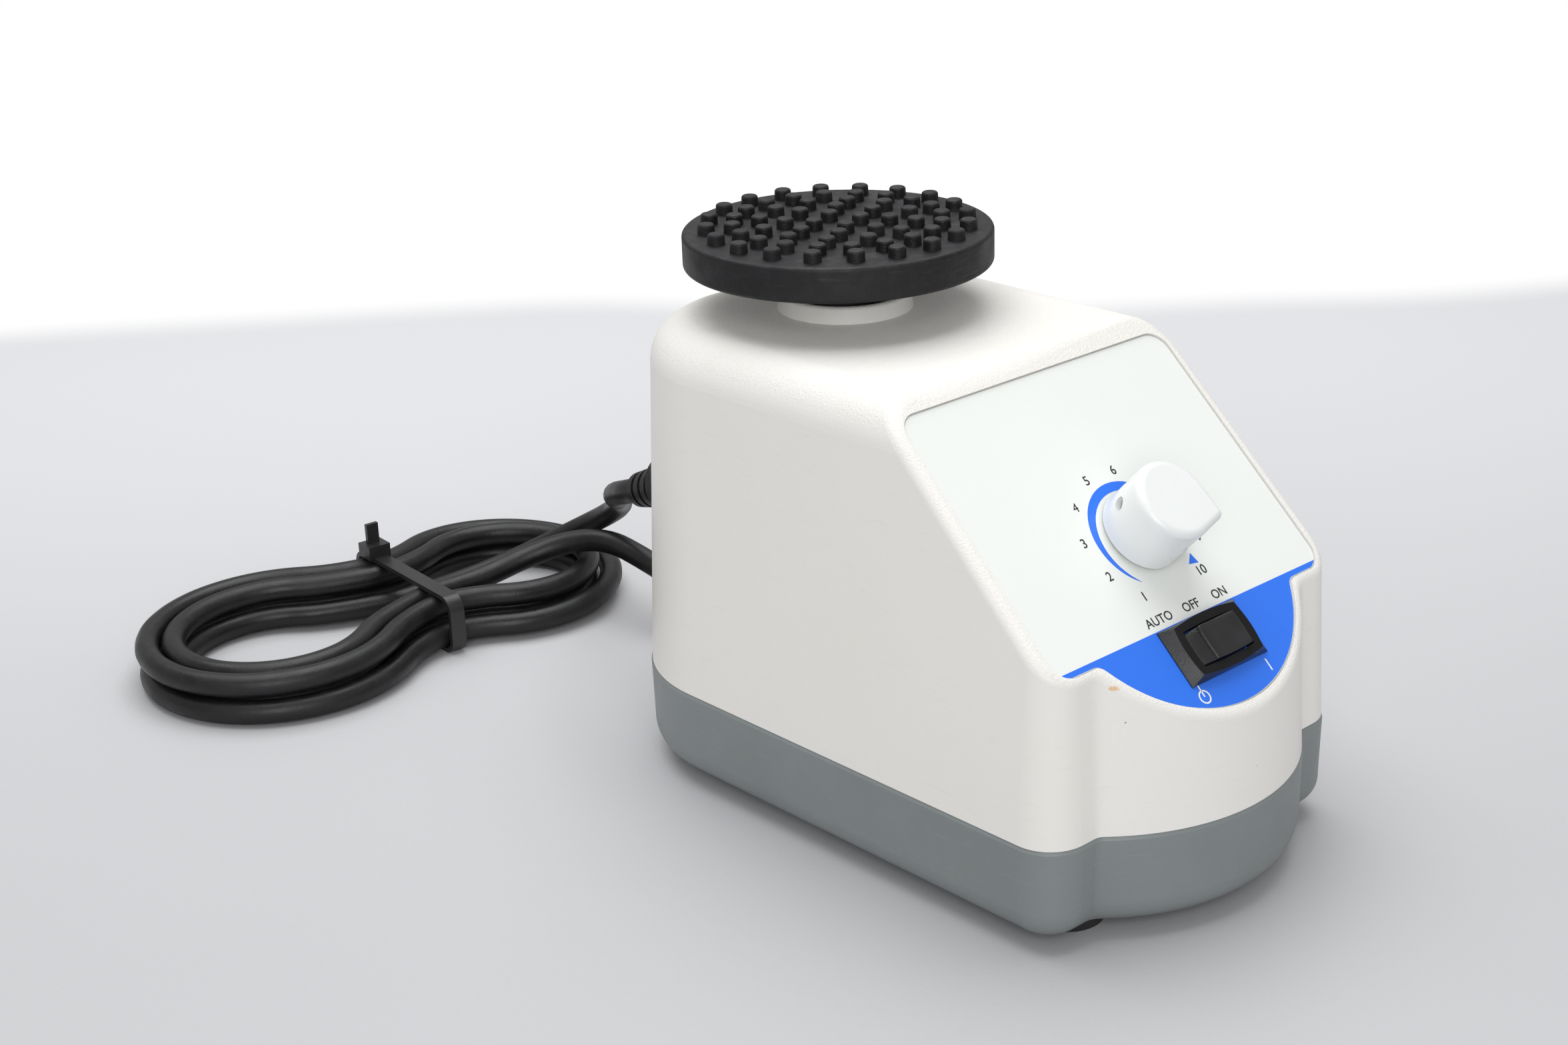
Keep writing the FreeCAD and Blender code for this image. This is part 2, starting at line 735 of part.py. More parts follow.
def make_speed_knob():
    """Pointer knob with a hollow for the nut, a spindle bore and a set-screw hole."""
    knob = Part.Face(knob_outline(knob_lift)).extrude(Vector(0, 0, knob_height))
    rim = edges_between(knob, lambda p: p.z > knob_lift + knob_height - 0.01)
    knob = knob.makeFillet(knob_round, rim)
    knob = knob.cut(panel_cylinder(nut_radius + 0.8, 0, nut_height + 2.0, dial_s))
    knob = knob.cut(panel_cylinder(pot_shaft_radius + running, 0, knob_lift + knob_height - 2.5, dial_s))
    return on_panel(knob.cut(knob_screw_hole(screw_radius - 0.4 + running, knob_radius + 2)))


def knob_screw_hole(radius, reach):
    """Cylinder from the spindle out through the blunt side of the knob."""
    turn = math.radians(knob_angle_deg + 180.0)
    aim = Vector(math.cos(turn), math.sin(turn), 0)
    start = Vector(0, -dial_s, knob_screw_level) + aim * (pot_shaft_radius + running)
    return Part.makeCylinder(radius, reach - pot_shaft_radius - running, start, aim)


def make_knob_set_screw():
    """Grub screw that grips the spindle, with a socket in its end."""
    turn = math.radians(knob_angle_deg + 180.0)
    aim = Vector(math.cos(turn), math.sin(turn), 0)
    grub = knob_screw_hole(screw_radius - 0.4, knob_radius - 1.4)
    socket = Part.makeCylinder(0.8, 3, Vector(0, -dial_s, knob_screw_level) + aim * (knob_radius - 3.0), aim)
    return on_panel(grub.cut(socket))


def make_control_board():
    """Speed-control board, carried on the back of the potentiometer."""
    back = panel_border - panel_wall - pot_depth
    board = panel_block(board_length, board_width, back - board_thick, back, dial_s)
    return on_panel(board)


def make_board_parts():
    """Parts on the back of the control board: capacitor, choke, power device on a fin, and connector."""
    back = panel_border - panel_wall - pot_depth - board_thick
    capacitor = Part.makeBox(18, 8, 12, Vector(-20, -dial_s - 14, back - 12))
    choke = Part.makeCylinder(7, 7, Vector(10, -dial_s + 8, back - 7))
    choke = choke.cut(Part.makeCylinder(3, 9, Vector(10, -dial_s + 8, back - 8)))
    fin = Part.makeBox(16, 1.6, 18, Vector(3, -dial_s - 12, back - 18))
    device = Part.makeBox(10, 4.4, 10, Vector(6, -dial_s - 12 + 1.6, back - 14))
    connector = Part.makeBox(14, 9, 8, Vector(-20, -dial_s + 6, back - 8))
    return group([on_panel(p) for p in (capacitor, choke, fin, device, connector)])


def bracket(z, hub_low, hub_high):
    """Motor end bracket: a plate that runs on the posts, with a bearing hub."""
    ear = post_radius + 4.0
    plate = block(-post_x - ear, post_x + ear, head_axis_y - post_y - ear, head_axis_y + post_y + ear,
                  z, z + bracket_thick)
    corners = edges_between(plate, lambda p: abs(p.z - z - bracket_thick / 2.0) < 0.01)
    plate = plate.makeFillet(ear - 0.1, corners)
    plate = plate.fuse(cylinder(bracket_hub_radius, hub_low, hub_high, 0, head_axis_y))
    for x, y in post_places():
        plate = plate.cut(cylinder(post_radius + running, z - 1, z + bracket_thick + 1, x, y))
    for x, y in motor_bolt_places():
        plate = plate.cut(cylinder(motor_bolt_radius + running, z - 1, z + bracket_thick + 1, x, y))
    return plate


def make_lower_bracket():
    """Lower end bracket; its hub foot works the touch switch."""
    shape = bracket(lower_bracket_z, hub_foot_z, lower_bearing_z + bearing_height)
    seat = cylinder(bearing_radius + running, lower_bearing_z, lower_bearing_z + 20, 0, head_axis_y)
    shape = shape.cut(seat)
    return shape.cut(cylinder(shaft_radius + 1.5, 0, 100, 0, head_axis_y))


def make_upper_bracket():
    """Upper end bracket."""
    shape = bracket(upper_bracket_z, upper_bearing_z, upper_bearing_z + bearing_height + 1.0)
    shape = shape.cut(cylinder(bearing_radius + running, 0, upper_bearing_z + bearing_height, 0, head_axis_y))
    return shape.cut(cylinder(shaft_radius + 1.5, 0, 200, 0, head_axis_y))


def make_bearing(z, outer, bore, height, x, y):
    """Shielded ball bearing as one ring, with a groove between its races on both faces."""
    ring = tube(outer, bore + running, z, z + height, x, y)
    middle = (outer + bore) / 2.0
    for low in (z - 1.0, z + height - 0.5):
        ring = ring.cut(tube(middle + 1.6, middle - 1.6, low, low + 1.5, x, y))
    return ring


def motor_bearing(z):
    """Bearing of the motor shaft."""
    return make_bearing(z, bearing_radius, shaft_radius, bearing_height, 0, head_axis_y)


def make_head_bearing():
    """Bearing between the eccentric's pin and the head."""
    return make_bearing(head_bearing_z, head_bearing_radius, pin_radius, head_bearing_height, head_x, head_y)


def make_stator_core():
    """Laminated stator block with a round bore and bolt holes."""
    top = stator_bottom_z + stator_height
    core = block(-stator_width / 2.0, stator_width / 2.0, head_axis_y - stator_depth / 2.0,
                 head_axis_y + stator_depth / 2.0, stator_bottom_z, top)
    core = core.cut(cylinder(rotor_radius + rotor_gap, 0, 200, 0, head_axis_y))
    for x, y in motor_bolt_places():
        core = core.cut(cylinder(motor_bolt_radius + running, 0, 200, x, y))
    return core


def make_stator_windings():
    """Wound coil ends above and below the stator."""
    top = stator_bottom_z + stator_height
    inner = rotor_radius + rotor_gap + 1.0
    ends = []
    for low in (stator_bottom_z - winding_height, top):
        ring = tube(winding_radius - 1.0, inner, low, low + winding_height, 0, head_axis_y)
        free_z = low if low < top else low + winding_height
        ends.append(ring.makeFillet(1.5, edges_between(ring, lambda p, z=free_z: abs(p.z - z) < 0.01)))
    return group(ends)


def make_bracket_spacers():
    """Sleeves between the stator and the two brackets."""
    sleeves = []
    top = stator_bottom_z + stator_height
    for x, y in motor_bolt_places():
        for z0, z1 in ((lower_bracket_z + bracket_thick, stator_bottom_z), (top, upper_bracket_z)):
            sleeves.append(tube(spacer_radius, motor_bolt_radius + running, z0, z1, x, y))
    return group(sleeves)


def make_motor_bolts():
    """Through bolts with hexagon heads and nuts that clamp the motor together."""
    bolts = []
    for x, y in motor_bolt_places():
        shank = cylinder(motor_bolt_radius, lower_bracket_z - 3, upper_bracket_z + bracket_thick + 3, x, y)
        head = prism(3.8, 6, lower_bracket_z - 2.8, lower_bracket_z, x, y)
        nut = prism(3.8, 6, upper_bracket_z + bracket_thick, upper_bracket_z + bracket_thick + 2.8, x, y)
        bolts.append(shank.fuse([head, nut]))
    return group(bolts)


def make_guide_posts():
    """Posts on the base that carry the motor carriage."""
    posts = []
    for x, y in post_places():
        post = cylinder(post_radius, floor_z, post_top_z, x, y)
        spigot = cylinder(post_radius - fit_gap, floor_z - 2, floor_z, x, y)
        posts.append(post.fuse([spigot, cylinder(post_collar_radius, floor_z, spring_seat_z, x, y)]))
    return group(posts)


def make_post_nuts():
    """Nuts on the posts that stop the carriage at the top of its travel."""
    z0 = upper_bracket_z + bracket_thick
    nuts = []
    for x, y in post_places():
        nut = prism(post_collar_radius, 6, z0, z0 + 4, x, y)
        nuts.append(nut.cut(cylinder(post_radius + running, 0, 200, x, y)))
    return group(nuts)


def make_carriage_springs():
    """Return springs round the posts, under the lower bracket."""
    coil_radius = post_radius + fit_gap + 1.0 + spring_wire_radius
    low = spring_seat_z + spring_wire_radius + fit_gap
    high = lower_bracket_z - spring_wire_radius - fit_gap
    springs = []
    for x, y in post_places():
        path = Part.makeHelix((high - low) / spring_turns, high - low, coil_radius)
        ring = Part.Wire([Part.makeCircle(spring_wire_radius, Vector(coil_radius, 0, 0), Vector(0, 1, 0))])
        coil = Part.Wire(path).makePipeShell([ring], True, True)
        coil.translate(Vector(x, y, low))
        springs.append(coil)
    return group(springs)


def lever_cylinder(radius, length):
    """Cylinder on the pivot of the touch lever, along the pivot."""
    start = Vector(lever_x, head_axis_y - length / 2.0, lever_z)
    return Part.makeCylinder(radius, length, start, Vector(0, 1, 0))


def make_touch_switch():
    """Snap switch under the motor, with the ears that carry its lever."""
    y0 = head_axis_y - switch_half
    y1 = head_axis_y + switch_half
    body = block(switch_x0, switch_x1, y0, y1, touch_step_z, touch_top_z)
    for ear_y in (y0, y1 - lever_ear):
        body = body.fuse(block(lever_x - 2 * lever_ear, lever_x + 2 * lever_ear, ear_y, ear_y + lever_ear,
                               touch_top_z - 1, lever_z + 2 * lever_ear))
    return body.cut(lever_cylinder(lever_pin_radius + running, 4 * switch_half))


def make_touch_lever():
    """Lever of the snap switch, on its own pin."""
    half = switch_half - lever_ear - air_gap
    strip = block(lever_tip_x, lever_x, head_axis_y - half, head_axis_y + half,
                  lever_z - lever_thick / 2.0, lever_z + lever_thick / 2.0)
    barrel = lever_cylinder(lever_pin_radius + lever_thick, 2 * half)
    return strip.fuse([barrel, lever_cylinder(lever_pin_radius, 2 * switch_half)])


def make_motor_shaft():
    """Motor shaft."""
    top = eccentric_z + eccentric_height - shaft_cover
    return cylinder(shaft_radius, shaft_bottom_z, top, 0, head_axis_y)


def make_rotor_core():
    """Squirrel-cage rotor on the shaft."""
    top = stator_bottom_z + stator_height
    return tube(rotor_radius, shaft_radius, stator_bottom_z, top, 0, head_axis_y)


def make_cooling_fan():
    """Fan under the rotor: hub, disc and straight blades."""
    low = fan_z
    high = stator_bottom_z - 0.5
    fan = tube(7.0, shaft_radius, low, high, 0, head_axis_y)
    fan = fan.fuse(tube(fan_radius, shaft_radius, high - 1.2, high, 0, head_axis_y))
    for i in range(fan_blades):
        blade = block(6.0, fan_radius, -0.6, 0.6, low, high)
        blade.rotate(Vector(0, 0, 0), Vector(0, 0, 1), 360.0 * i / fan_blades)
        blade.translate(Vector(0, head_axis_y, 0))
        fan = fan.fuse(blade)
    return fan


def make_eccentric():
    """Eccentric on the shaft: round hub with an offset pin for the head."""
    top = eccentric_z + eccentric_height
    hub = cylinder(eccentric_radius, eccentric_z, top, 0, head_axis_y)
    pin = cylinder(pin_radius, top, top + pin_height, head_x, head_y)
    collar = cylinder(pin_radius + 1.5, top, neck_bottom_z + 2.0 - air_gap, head_x, head_y)
    shape = hub.fuse([pin, collar])
    shape = shape.cut(cylinder(shaft_radius, eccentric_z - 1, top - shaft_cover, 0, head_axis_y))
    return shape.cut(eccentric_screw_hole(screw_radius + fit_gap, eccentric_radius + 1))


def eccentric_screw_hole(radius, reach):
    """Cylinder from the shaft out through the side of the eccentric that the pin leans to."""
    aim = Vector(math.cos(orbit_angle), math.sin(orbit_angle), 0)
    start = Vector(0, head_axis_y, eccentric_z + eccentric_height / 3.0) + aim * shaft_radius
    return Part.makeCylinder(radius, reach - shaft_radius, start, aim)


def make_eccentric_screw():
    """Grub screw that grips the shaft."""
    return eccentric_screw_hole(screw_radius, eccentric_radius - 0.5)


def make_counterweight():
    """Half-round weight opposite the pin."""
    low = eccentric_z + 1.0
    ring = tube(counterweight_radius, eccentric_radius + running, low, low + counterweight_height, 0, 0)
    half = block(-60, 0, -60, 60, low - 1, low + counterweight_height + 1)
    weight = ring.common(half)
    weight.rotate(Vector(0, 0, 0), Vector(0, 0, 1), orbit_angle_deg)
    weight.translate(Vector(0, head_axis_y, 0))
    return weight


def make_platform_hub():
    """Black neck of the head: bearing pocket below and a screw hole above."""
    hub = cylinder(neck_radius, neck_bottom_z, plate_z, head_x, head_y)
    hub = hub.makeFillet(1.0, edges_between(hub, lambda p: p.z < neck_bottom_z + 0.01))
    pocket = cylinder(head_bearing_radius + running, neck_bottom_z - 1, head_bearing_top_z, head_x, head_y)
    hub = hub.cut(pocket)
    hub = hub.cut(cylinder(pin_radius + 1.5, neck_bottom_z, pin_top_z + 2.0, head_x, head_y))
    return hub.cut(cylinder(screw_radius + fit_gap, neck_bottom_z, plate_z + 1, head_x, head_y))


def make_platform_plate():
    """Stiff disc inside the rubber platform."""
    seat_z = plate_top_z - screw_head_height
    plate = cylinder(plate_radius, plate_z, plate_top_z, head_x, head_y)
    plate = plate.cut(cylinder(screw_radius + fit_gap, plate_z - 1, plate_top_z + 1, head_x, head_y))
    return plate.cut(cylinder(screw_head_radius + fit_gap, seat_z, plate_top_z + 1, head_x, head_y))


def make_platform_screw():
    """Screw that holds the platform on the neck."""
    head_z = plate_top_z - screw_head_height
    shank = cylinder(screw_radius, plate_z - 7.0, head_z + 1, head_x, head_y)
    head = cylinder(screw_head_radius, head_z, plate_top_z - 0.3, head_x, head_y)
    socket = prism(1.6, 6, plate_top_z - 1.8, plate_top_z, head_x, head_y)
    return shank.fuse(head).cut(socket)


def make_nub():
    """One rubber nub with a rounded top, standing on the origin."""
    nub = Part.makeCone(nub_radius, nub_radius - 0.15, nub_height + 0.5, Vector(0, 0, -0.5))
    return nub.makeFillet(nub_round, edges_between(nub, lambda p: p.z > nub_height - 0.01))


def make_platform_pad():
    """Rubber platform: thick disc over the plate, with rings of nubs."""
    low = platform_top_z - platform_thick
    pad = cylinder(platform_radius, low, platform_top_z, head_x, head_y)
    rims = edges_between(pad, lambda p: abs(p.z - low) < 0.01 or abs(p.z - platform_top_z) < 0.01)
    pad = pad.makeFillet(platform_edge, rims)
    pad = pad.cut(cylinder(plate_radius + fit_gap, low - 1, plate_top_z, head_x, head_y))
    nub = make_nub()
    nubs = []
    for ring, count, phase in nub_rings:
        for i in range(count):
            turn = math.radians(phase + 360.0 * i / count)
            copy = nub.copy()
            place = Vector(head_x + ring * math.cos(turn), head_y + ring * math.sin(turn), platform_top_z)
            copy.translate(place)
            nubs.append(copy)
    return pad.fuse(nubs)


def relief_cylinder(radius, start, end):
    """Cylinder on the axis of the strain relief."""
    return Part.makeCylinder(radius, end - start, relief_point(start), relief_direction())


def make_strain_relief():
    """Tapered, grooved strain relief that grips the back wall between two flanges."""
    aim = relief_direction()
    boot = Part.makeCone(relief_big_radius, relief_small_radius, relief_out, relief_point(0), aim)
    root = relief_cylinder(relief_big_radius, -relief_in, 0)
    flange = relief_cylinder(relief_flange_radius, -relief_in, relief_flange_reach).cut(case_solid())
    flange = flange.cut(relief_cylinder(2 * relief_flange_radius, -2 * relief_in, -relief_in / 2.0))
    latch = relief_cylinder(relief_latch_radius, -relief_in, 0).common(case_cavity())
    shape = boot.fuse([root, flange, latch])
    shape = shape.cut(relief_cylinder(cord_radius + relief_bore_gap, -2 * relief_in, 2 * relief_out))
    taper = (relief_big_radius - relief_small_radius) / relief_out
    for i in range(relief_grooves):
        start = relief_out - relief_groove_step * (i + 1)
        end = start + relief_groove_width
        core = relief_small_radius + taper * (relief_out - end) - relief_groove_depth
        groove = relief_cylinder(2 * relief_big_radius, start, end)
        shape = shape.cut(groove.cut(relief_cylinder(core, start, end)))
    return shape


def rounded_path(points):
    """Wire of straight runs joined by the largest tangent arcs that the runs leave room for."""
    edges = []
    here = points[0]
    radii = []
    for before, corner, after in zip(points, points[1:], points[2:]):
        come = (corner - before).normalize()
        leave = (after - corner).normalize()
        turn = come.getAngle(leave)
        shorter = min((corner - before).Length, (after - corner).Length)
        trim = 0.45 * shorter
        radius = trim / math.tan(turn / 2.0)
        radii.append(radius)
        start = corner - come * trim
        end = corner + leave * trim
        inward = (leave - come).normalize()
        bulge = radius / math.cos(turn / 2.0) - radius
        edges.append(Part.LineSegment(here, start).toShape())
        edges.append(Part.Arc(start, corner + inward * bulge, end).toShape())
        here = end
    edges.append(Part.LineSegment(here, points[-1]).toShape())
    print("  bend radii", [round(r) for r in radii])
    return Part.Wire(edges)


def sweep_cord(path, start, aim):
    """Round cord along a wire; prints how its volume compares with section times length."""
    ring = Part.Wire([Part.makeCircle(cord_radius, start, aim)])
    solid = path.makePipeShell([ring], True, False)
    expected = path.Length * math.pi * cord_radius ** 2
    print("  cord length %.1f volume %.1f expected %.1f" % (path.Length, solid.Volume, expected))
    return solid


def hank_waist_centre():
    """Centre of the hollow arc at the back of the waist, tangent to both end loops."""
    left = hank_left_radius + hank_waist_radius
    right = hank_right_radius + hank_waist_radius
    span = hank_left_reach + hank_right_reach
    x = (left ** 2 - right ** 2 - hank_left_reach ** 2 + hank_right_reach ** 2) / (2.0 * span)
    return x, math.sqrt(left ** 2 - (x + hank_left_reach) ** 2)


def hank_sweep(sign):
    """Angles of one quarter of the outermost loop: its hollow stretch and its round end."""
    waist_x, waist_y = hank_waist_centre()
    centre_x = hank_right_reach if sign > 0 else -hank_left_reach
    hollow = abs(math.atan2(-waist_y, centre_x - waist_x) + math.pi / 2.0)
    return hollow, math.pi / 2.0 + hollow


def hank_hollow_share(sign):
    """Share of a quarter loop that is hollow."""
    hollow, lobe = hank_sweep(sign)
    radius = hank_right_radius if sign > 0 else hank_left_radius
    return hollow * hank_waist_radius / (hollow * hank_waist_radius + lobe * radius)


def hank_outline(share, sign):
    """Outermost loop from the waist (share 0) to one end (share 1): place and outward normal."""
    waist_x, waist_y = hank_waist_centre()
    radius = hank_right_radius if sign > 0 else hank_left_radius
    centre_x = hank_right_reach if sign > 0 else -hank_left_reach
    hollow, lobe = hank_sweep(sign)
    split = hank_hollow_share(sign)
    if share < split:
        angle = -math.pi / 2.0 + sign * hollow * share / split
        normal = (-math.cos(angle), -math.sin(angle))
        return waist_x - hank_waist_radius * normal[0], waist_y - hank_waist_radius * normal[1], normal
    swept = lobe * (1.0 - share) / (1.0 - split)
    normal = (sign * math.cos(swept), math.sin(swept))
    return centre_x + radius * normal[0], radius * normal[1], normal


def hank_point(turns):
    """Middle of the cord in the hank after a number of turns, counted from the back of the waist.

    The loops run out from the middle in the lower layer and in again in the upper one. They are
    round at both ends and drawn in at the waist, where the tie lifts them off the bench.
    """
    half = hank_turns / 2.0
    part_turn = (turns % 1.0) * 4.0
    quarter = min(3, int(part_turn))
    share = part_turn - quarter
    if quarter in (1, 3):
        share = 1.0 - share
    along, aside, normal = hank_outline(share, -1 if quarter < 2 else 1)
    front = -1.0 if quarter in (1, 2) else 1.0
    inward = hank_step * abs(half - turns)
    along -= inward * normal[0]
    aside = front * (aside - inward * normal[1])
    climb = min(1.0, max(0.0, 2.0 * (turns - half) + 0.5))
    climb = climb * climb * (3.0 - 2.0 * climb)
    lift = (tie_thick + tie_gap) * (1.0 - share) ** 2
    height = cord_radius + fit_gap + lift + hank_layer * climb
    turn = math.radians(hank_turn_deg)
    x = hank_x + along * math.cos(turn) - aside * math.sin(turn)
    y = hank_y + along * math.sin(turn) + aside * math.cos(turn)
    return Vector(x, y, height)


def hank_direction(turns):
    """Direction of the cord in the hank."""
    nudge = 1e-4
    return (hank_point(turns + nudge) - hank_point(turns - nudge)).normalize()


def arc_middle(start, aim, end):
    """Middle point of the arc that leaves a point in a direction and arrives at another point."""
    chord = end - start
    along = aim.dot(chord) / chord.Length
    side = (aim - chord * (along / chord.Length)).normalize()
    lean = math.acos(max(-1.0, min(1.0, along)))
    return start + chord * 0.5 + side * (chord.Length / 2.0 * math.tan(lean / 2.0))


def biarc(start, aim, end, final):
    """Two arcs that join two points with given directions."""
    span = end - start
    bend = 2.0 * (1.0 - aim.dot(final))
    lead = span.dot(aim + final)
    arm = (-lead + math.sqrt(lead ** 2 + bend * span.dot(span))) / bend
    meet = (start + end + (aim - final) * arm) * 0.5
    first = Part.Arc(start, arc_middle(start, aim, meet), meet)
    second = Part.Arc(meet, arc_middle(end, final * -1.0, meet), end)
    return [first.toShape(), second.toShape()]


def make_mains_lead():
    """Lead from the strain relief down to the hank."""
    start = relief_point(0)
    bend = relief_point(relief_out + lead_straight)
    end = hank_start()
    turn_in = end - hank_direction(0.0) * lead_last_run
    points = [start, bend] + [Vector(*p) for p in lead_points] + [turn_in, end]
    return sweep_cord(rounded_path(points), start, relief_direction())


def hank_start():
    """Where the lead joins the hank, one diameter before its first turn."""
    return hank_point(0.0) - hank_direction(0.0) * cord_diameter


def hank_end():
    """Where the tail joins the hank, one diameter past its last turn."""
    return hank_point(hank_turns) + hank_direction(hank_turns) * cord_diameter


def hank_stops():
    """Turn counts at which the hank's arcs meet: waist, end of the hollow and end of each loop."""
    stops = []
    for i in range(int(4 * hank_turns)):
        share = hank_hollow_share(-1 if i % 4 < 2 else 1)
        inner = share if i % 2 == 0 else 1.0 - share
        stops += [i / 4.0, (i + inner) / 4.0]
    return stops + [hank_turns]


def make_lead_hank():
    """Tied hank of the lead, wound as one tube in two layers."""
    stops = hank_stops()
    edges = [Part.LineSegment(hank_start(), hank_point(0.0)).toShape()]
    for first, last in zip(stops, stops[1:]):
        edges += biarc(hank_point(first), hank_direction(first), hank_point(last), hank_direction(last))
    edges.append(Part.LineSegment(hank_point(hank_turns), hank_end()).toShape())
    path = Part.Wire(edges)
    print("  hank least gap to itself %.2f" % least_gap(path))
    print("  hank least bend radius %.1f" % min(edge.Curve.Radius for edge in edges[1:-1]))
    return sweep_cord(path, hank_start(), hank_direction(0.0))


def least_gap(path):
    """Least gap between stretches of a wound cord that aren't neighbours along it."""
    spacing = cord_diameter / 4.0
    points = path.discretize(Distance=spacing)
    apart = int(6 * cord_diameter / spacing)
    least = path.Length
    for i, point in enumerate(points):
        for other in points[i + apart:]:
            least = min(least, point.distanceToPoint(other))
    return least - cord_diameter


def make_lead_tail():
    """Tail of the lead from the hank to the plug."""
    start = hank_end()
    aim = hank_direction(hank_turns)
    end = Vector(plug_x, plug_y, plug_z)
    points = [start, start + aim * tail_first_run] + [Vector(*p) for p in tail_points]
    points += [end - Vector(tail_last_run, 0, 0), end]
    return sweep_cord(rounded_path(points), start, aim)


def tie_ring(grow, x0, x1):
    """Round-cornered block about the hank's waist, grown outwards from the cords."""
    waist_x, waist_y = hank_waist_centre()
    half = waist_y - hank_waist_radius + cord_radius + tie_gap + grow
    low = tie_thick - grow
    high = tie_thick + tie_gap + fit_gap + cord_diameter + hank_layer + tie_gap + grow
    ring = block(x0, x1, -half, half, low, high)
    middle = (x0 + x1) / 2.0
    return ring.makeFillet(tie_round + grow, edges_between(ring, lambda p: abs(p.x - middle) < 0.01))


def make_cable_tie():
    """Tie round the waist of the hank: a strap with a locking head."""
    waist_x, waist_y = hank_waist_centre()
    x0 = waist_x - tie_width / 2.0
    x1 = waist_x + tie_width / 2.0
    outer = tie_ring(tie_thick, x0, x1)
    strap = outer.cut(tie_ring(0.0, x0 - 1, x1 + 1))
    top = outer.BoundBox.ZMax
    head_y1 = outer.BoundBox.YMax - tie_thick - tie_head_in
    head_y0 = head_y1 - tie_head_length
    head_top = top + tie_head_rise
    head = block(x0 - tie_head_side, x1 + tie_head_side, head_y0, head_y1, top - tie_thick / 2.0, head_top)
    end_y = (head_y0 + head_y1) / 2.0
    end = block(x0 + tie_end_side, x1 - tie_end_side, end_y, end_y + tie_thick,
                head_top - 1, head_top + tie_end_rise)
    tie = strap.fuse([head, end])
    tie.rotate(Vector(0, 0, 0), Vector(0, 0, 1), hank_turn_deg)
    tie.translate(Vector(hank_x, hank_y, 0))
    return tie


def make_plug_body():
    """Moulded mains plug with a tapered tail."""
    start = plug_x + plug_tail
    half = plug_width / 2.0
    body = block(start, start + plug_length, plug_y - half, plug_y + half, 0, plug_height)
    sides = edges_between(body, lambda p: abs(p.x - start - plug_length / 2.0) < 0.01)
    body = body.makeFillet(plug_round, sides)
    body = body.makeFillet(plug_round / 2.0, edges_between(body, lambda p: abs(p.x - start) < 0.01))
    tail = Part.makeCone(cord_radius + plug_tail_small, cord_radius + plug_tail_large, plug_tail + 1.0,
                         Vector(plug_x, plug_y, plug_z), Vector(1, 0, 0))
    return body.fuse(tail)


def make_plug_pins():
    """Two flat blades and a round earth pin."""
    face = plug_x + plug_tail + plug_length
    blade_z = plug_z + blade_lift
    pins = []
    for side in (-1, 1):
        y = plug_y + side * blade_spacing / 2.0
        pins.append(block(face, face + blade_length, y - blade_thick / 2.0, y + blade_thick / 2.0,
                          blade_z - blade_width / 2.0, blade_z + blade_width / 2.0))
    earth = Vector(face, plug_y, plug_z - earth_pin_drop)
    pins.append(Part.makeCylinder(earth_pin_radius, earth_pin_length, earth, Vector(1, 0, 0)))
    return group(pins)


PIECES = {
    "upper_housing": make_upper_housing,
    "base_pan": make_base_pan,
    "rubber_feet": make_feet,
    "foot_screws": make_foot_screws,
    "case_screws": make_case_screws,
    "panel_overlay": make_panel_overlay,
    "switch_frame": make_switch_frame,
    "switch_terminals": make_switch_terminals,
    "rocker": make_rocker,
    "potentiometer": make_potentiometer,
    "pot_nut": make_pot_nut,
    "pot_shaft": make_pot_shaft,
    "speed_knob": make_speed_knob,
    "knob_set_screw": make_knob_set_screw,
    "control_board": make_control_board,
    "board_parts": make_board_parts,
    "guide_posts": make_guide_posts,
    "post_nuts": make_post_nuts,
    "carriage_springs": make_carriage_springs,
    "touch_switch": make_touch_switch,
    "touch_lever": make_touch_lever,
    "lower_bracket": make_lower_bracket,
    "upper_bracket": make_upper_bracket,
    "lower_bearing": lambda: motor_bearing(lower_bearing_z),
    "upper_bearing": lambda: motor_bearing(upper_bearing_z),
    "stator_core": make_stator_core,
    "stator_windings": make_stator_windings,
    "bracket_spacers": make_bracket_spacers,
    "motor_bolts": make_motor_bolts,
    "motor_shaft": make_motor_shaft,
    "rotor_core": make_rotor_core,
    "cooling_fan": make_cooling_fan,
    "eccentric": make_eccentric,
    "eccentric_screw": make_eccentric_screw,
    "counterweight": make_counterweight,
    "head_bearing": make_head_bearing,
    "platform_hub": make_platform_hub,
    "platform_plate": make_platform_plate,
    "platform_screw": make_platform_screw,
    "platform_pad": make_platform_pad,
    "strain_relief": make_strain_relief,
    "mains_lead": make_mains_lead,
    "lead_hank": make_lead_hank,
    "lead_tail": make_lead_tail,
    "cable_tie": make_cable_tie,
    "plug_body": make_plug_body,
    "plug_pins": make_plug_pins,
}


def main():
    """Build every piece and write it."""
    os.makedirs("parts", exist_ok=True)
    for node, make in PIECES.items():
        save(make(), node)


if __name__ == "__main__":
    main()
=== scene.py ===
"""Looks of a bench vortex mixer: finishes of the built pieces, the panel's print, the cord and the stage.

Metres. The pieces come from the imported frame, +Z is up and the control panel faces -Y.
"""
import math

import bmesh
import bpy
from bpy.props import FloatProperty, FloatVectorProperty, IntProperty, PointerProperty
from mathutils import Matrix, Vector


